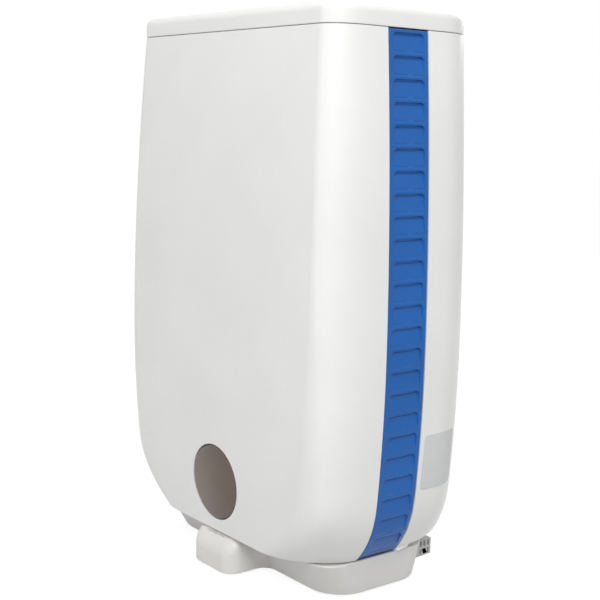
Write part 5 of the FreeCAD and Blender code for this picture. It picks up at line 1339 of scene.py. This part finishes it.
@dataclass
class Mouldings:
    """Pieces whose packed form is right: rounded copies, and plain nodes that get a finish."""

    copies: tuple[tuple[str, Finish, Body, float], ...] = (
        ("outlet_frame", GREY_ABS, Body.CASING, 0.3),
        ("outlet_flap", WHITE_ABS, Body.FLAP, 0.5),
        ("control_tray", PANEL_BLUE, Body.CASING, 0.5),
        ("button_power", BUTTON_ABS, Body.POWER, 0.3),
        ("button_fan", BUTTON_ABS, Body.FAN, 0.3),
        ("button_swing", BUTTON_ABS, Body.SWING, 0.3),
        ("button_timer", BUTTON_ABS, Body.TIMER, 0.3),
        ("humidity_dial", WHITE_ABS, Body.DIAL, 0.25),
        ("indicator_lenses", LENS, Body.CASING, 0.25),
        ("carry_cup", WHITE_ABS, Body.CASING, 0.8),
        ("water_tank", TANK_PP, Body.TANK, 0.7),
        ("tank_lid", GREY_ABS, Body.TANK, 0.5),
        ("drain_cap", WHITE_ABS, Body.CAP, 0.3),
        ("drain_spigot", GREY_ABS, Body.CASING, 0.3),
        ("filter_frame_right", GREY_ABS, Body.COVER_RIGHT, 0.3),
        ("filter_frame_left", GREY_ABS, Body.COVER_LEFT, 0.3),
    )
    slots: tuple[tuple[str, str], ...] = (("control_tray", "blue_abs"),)
    plain: tuple[tuple[Finish, tuple[str, ...]], ...] = (
        (FILM, ("blank_plate",)),
        (NET_CLOTH, ("filter_mesh_right", "filter_mesh_left")),
        (FOAM, ("tank_float",)),
        (CHASSIS_PP, ("chassis",)),
        (GREY_ABS, ("drip_tray", "blower_case", "fan_casing")),
        (BLACK_PLASTIC, ("tank_switch", "rotor_rim", "drive_pinion", "return_duct", "blower_motor",
                         "blower_wheel", "fan_wheel", "flap_motor")),
        (ZEOLITE, ("desiccant_core",)),
        (ZINC, ("rotor_axle", "drive_motor", "heater_box", "heater_rods", "fan_motor")),
        (ALUMINIUM, ("condenser",)),
        (CIRCUIT, ("power_board", "control_board")),
    )

    def build(self) -> None:
        """Dress every piece."""
        for node, finish, body, width in self.copies:
            mesh = softened_copy(node, width)
            place_piece(node + "_moulded", mesh, finish, body, [node])
        for finish, names in self.plain:
            for name in names:
                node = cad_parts[name]
                node.data.materials.clear()
                node.data.materials.append(finish.material())
                LOG.info("%s: packed form, %s", name, finish.name)


# Stage, light and camera


@dataclass
class Studio:
    """Plain pale floor, soft lights and the camera."""

    eye: Point = (812.4, -634.5, 388.4)
    azimuth: float = 51.73
    pitch: float = 8.60
    roll: float = 1.36
    lens: float = 69.67
    sky: float = 0.56
    floor_half: float = 9000.0
    floor_colour: str = "C4C4C4"
    floor_glow: float = 1.37
    glow_share: float = 0.65

    def camera(self) -> None:
        """Set the camera at the photograph's viewing angle."""
        turn, fall, lean = (math.radians(a) for a in (self.azimuth, self.pitch, self.roll))
        back = Vector((math.sin(turn) * math.cos(fall), -math.cos(turn) * math.cos(fall), math.sin(fall)))
        right = Vector((math.cos(turn), math.sin(turn), 0.0))
        up = right.cross(-back)
        across = right * math.cos(lean) + up * math.sin(lean)
        rise = -right * math.sin(lean) + up * math.cos(lean)
        data = bpy.data.cameras.new("camera")
        data.lens = self.lens
        data.sensor_width = 36.0
        data.sensor_fit = "HORIZONTAL"
        data.clip_start, data.clip_end = 0.01, 100.0
        thing = bpy.data.objects.new("camera", data)
        matrix = Matrix((across, rise, back)).transposed().to_4x4()
        matrix.translation = Vector(self.eye) * MM
        thing.matrix_world = matrix
        bpy.context.scene.collection.objects.link(thing)
        bpy.context.scene.camera = thing

    def lamp(self, name: str, place: Point, target: Point, size: float, power: float, colour: str) -> None:
        """Add a soft square lamp that faces a target, in metres."""
        data = bpy.data.lights.new(name, "AREA")
        data.shape = "SQUARE"
        data.size = size
        data.energy = power
        data.color = linear(colour)[:3]
        thing = bpy.data.objects.new(name, data)
        aim = Vector(target) - Vector(place)
        thing.matrix_world = Matrix.Translation(place) @ aim.to_track_quat("-Z", "Y").to_matrix().to_4x4()
        bpy.context.scene.collection.objects.link(thing)

    @staticmethod
    def seen(tree: bpy.types.NodeTree) -> bpy.types.NodeSocket:
        """Give 1 for rays that show the surroundings: to the eye, in gloss and through the window."""
        ray = add_node(tree, "ShaderNodeLightPath").outputs
        direct = add_node(tree, "ShaderNodeMath", {
            0: ray["Is Camera Ray"], 1: ray["Is Transmission Ray"]}, operation="MAXIMUM").outputs[0]
        return add_node(tree, "ShaderNodeMath", {
            0: direct, 1: ray["Is Glossy Ray"]}, operation="MAXIMUM").outputs[0]

    def backdrop(self) -> None:
        """White surroundings for the eye, and a calmer light from them on the object."""
        world = bpy.data.worlds.new("surroundings")
        bpy.context.scene.world = world
        world.use_nodes = True
        tree = world.node_tree
        tree.nodes.clear()
        light, white = (
            add_node(tree, "ShaderNodeBackground", {"Color": (1.0, 1.0, 1.0, 1.0), "Strength": strength})
            for strength in (self.sky, 1.0))
        mix = add_node(tree, "ShaderNodeMixShader", {
            0: self.seen(tree), 1: light.outputs[0], 2: white.outputs[0]})
        add_node(tree, "ShaderNodeOutputWorld", {"Surface": mix.outputs[0]})

    def floor(self) -> None:
        """Pale floor that keeps the object's shadow."""
        skin = Skin()
        steps = spread(-self.floor_half, self.floor_half, 6)
        skin.grid([[(x, y, 0.0) for x in steps] for y in steps])
        thing = bpy.data.objects.new("floor", skin.mesh("floor"))
        bpy.context.scene.collection.objects.link(thing)
        made = bpy.data.materials.new("studio_floor")
        made.use_nodes = True
        tree = made.node_tree
        tree.nodes.clear()
        matte = add_node(tree, "ShaderNodeBsdfDiffuse", {"Color": linear(self.floor_colour)})
        glow = add_node(tree, "ShaderNodeEmission", {
            "Color": (1.0, 1.0, 1.0, 1.0), "Strength": self.floor_glow})
        share = add_node(tree, "ShaderNodeMath", {
            0: self.seen(tree), 1: self.glow_share}, operation="MULTIPLY")
        mix = add_node(tree, "ShaderNodeMixShader", {
            0: share.outputs[0], 1: matte.outputs[0], 2: glow.outputs[0]})
        add_node(tree, "ShaderNodeOutputMaterial", {"Surface": mix.outputs[0]})
        thing.data.materials.append(made)

    def build(self) -> None:
        """Set up the whole stage."""
        bpy.context.scene.view_settings.view_transform = "Standard"
        self.camera()
        self.backdrop()
        self.floor()
        self.lamp("key", (0.95, -0.85, 1.3), (0.05, 0.0, 0.35), 1.0, 18.5, "FFFFFF")
        self.lamp("fill", (-0.9, 1.9, 1.4), (0.0, 0.0, 0.25), 1.6, 14.0, "FFFFFF")


def main() -> None:
    """Build the stage and every piece."""
    logging.basicConfig(level=logging.INFO, format="%(name)s %(message)s")
    Studio().build()
    FrontShell().build()
    RearShell().build()
    TopCover().build()
    LouvreStrip().build()
    Base().build()
    Studs().build()
    CordBoot().build()
    Mouldings().build()


if __name__ == "__main__":
    main()
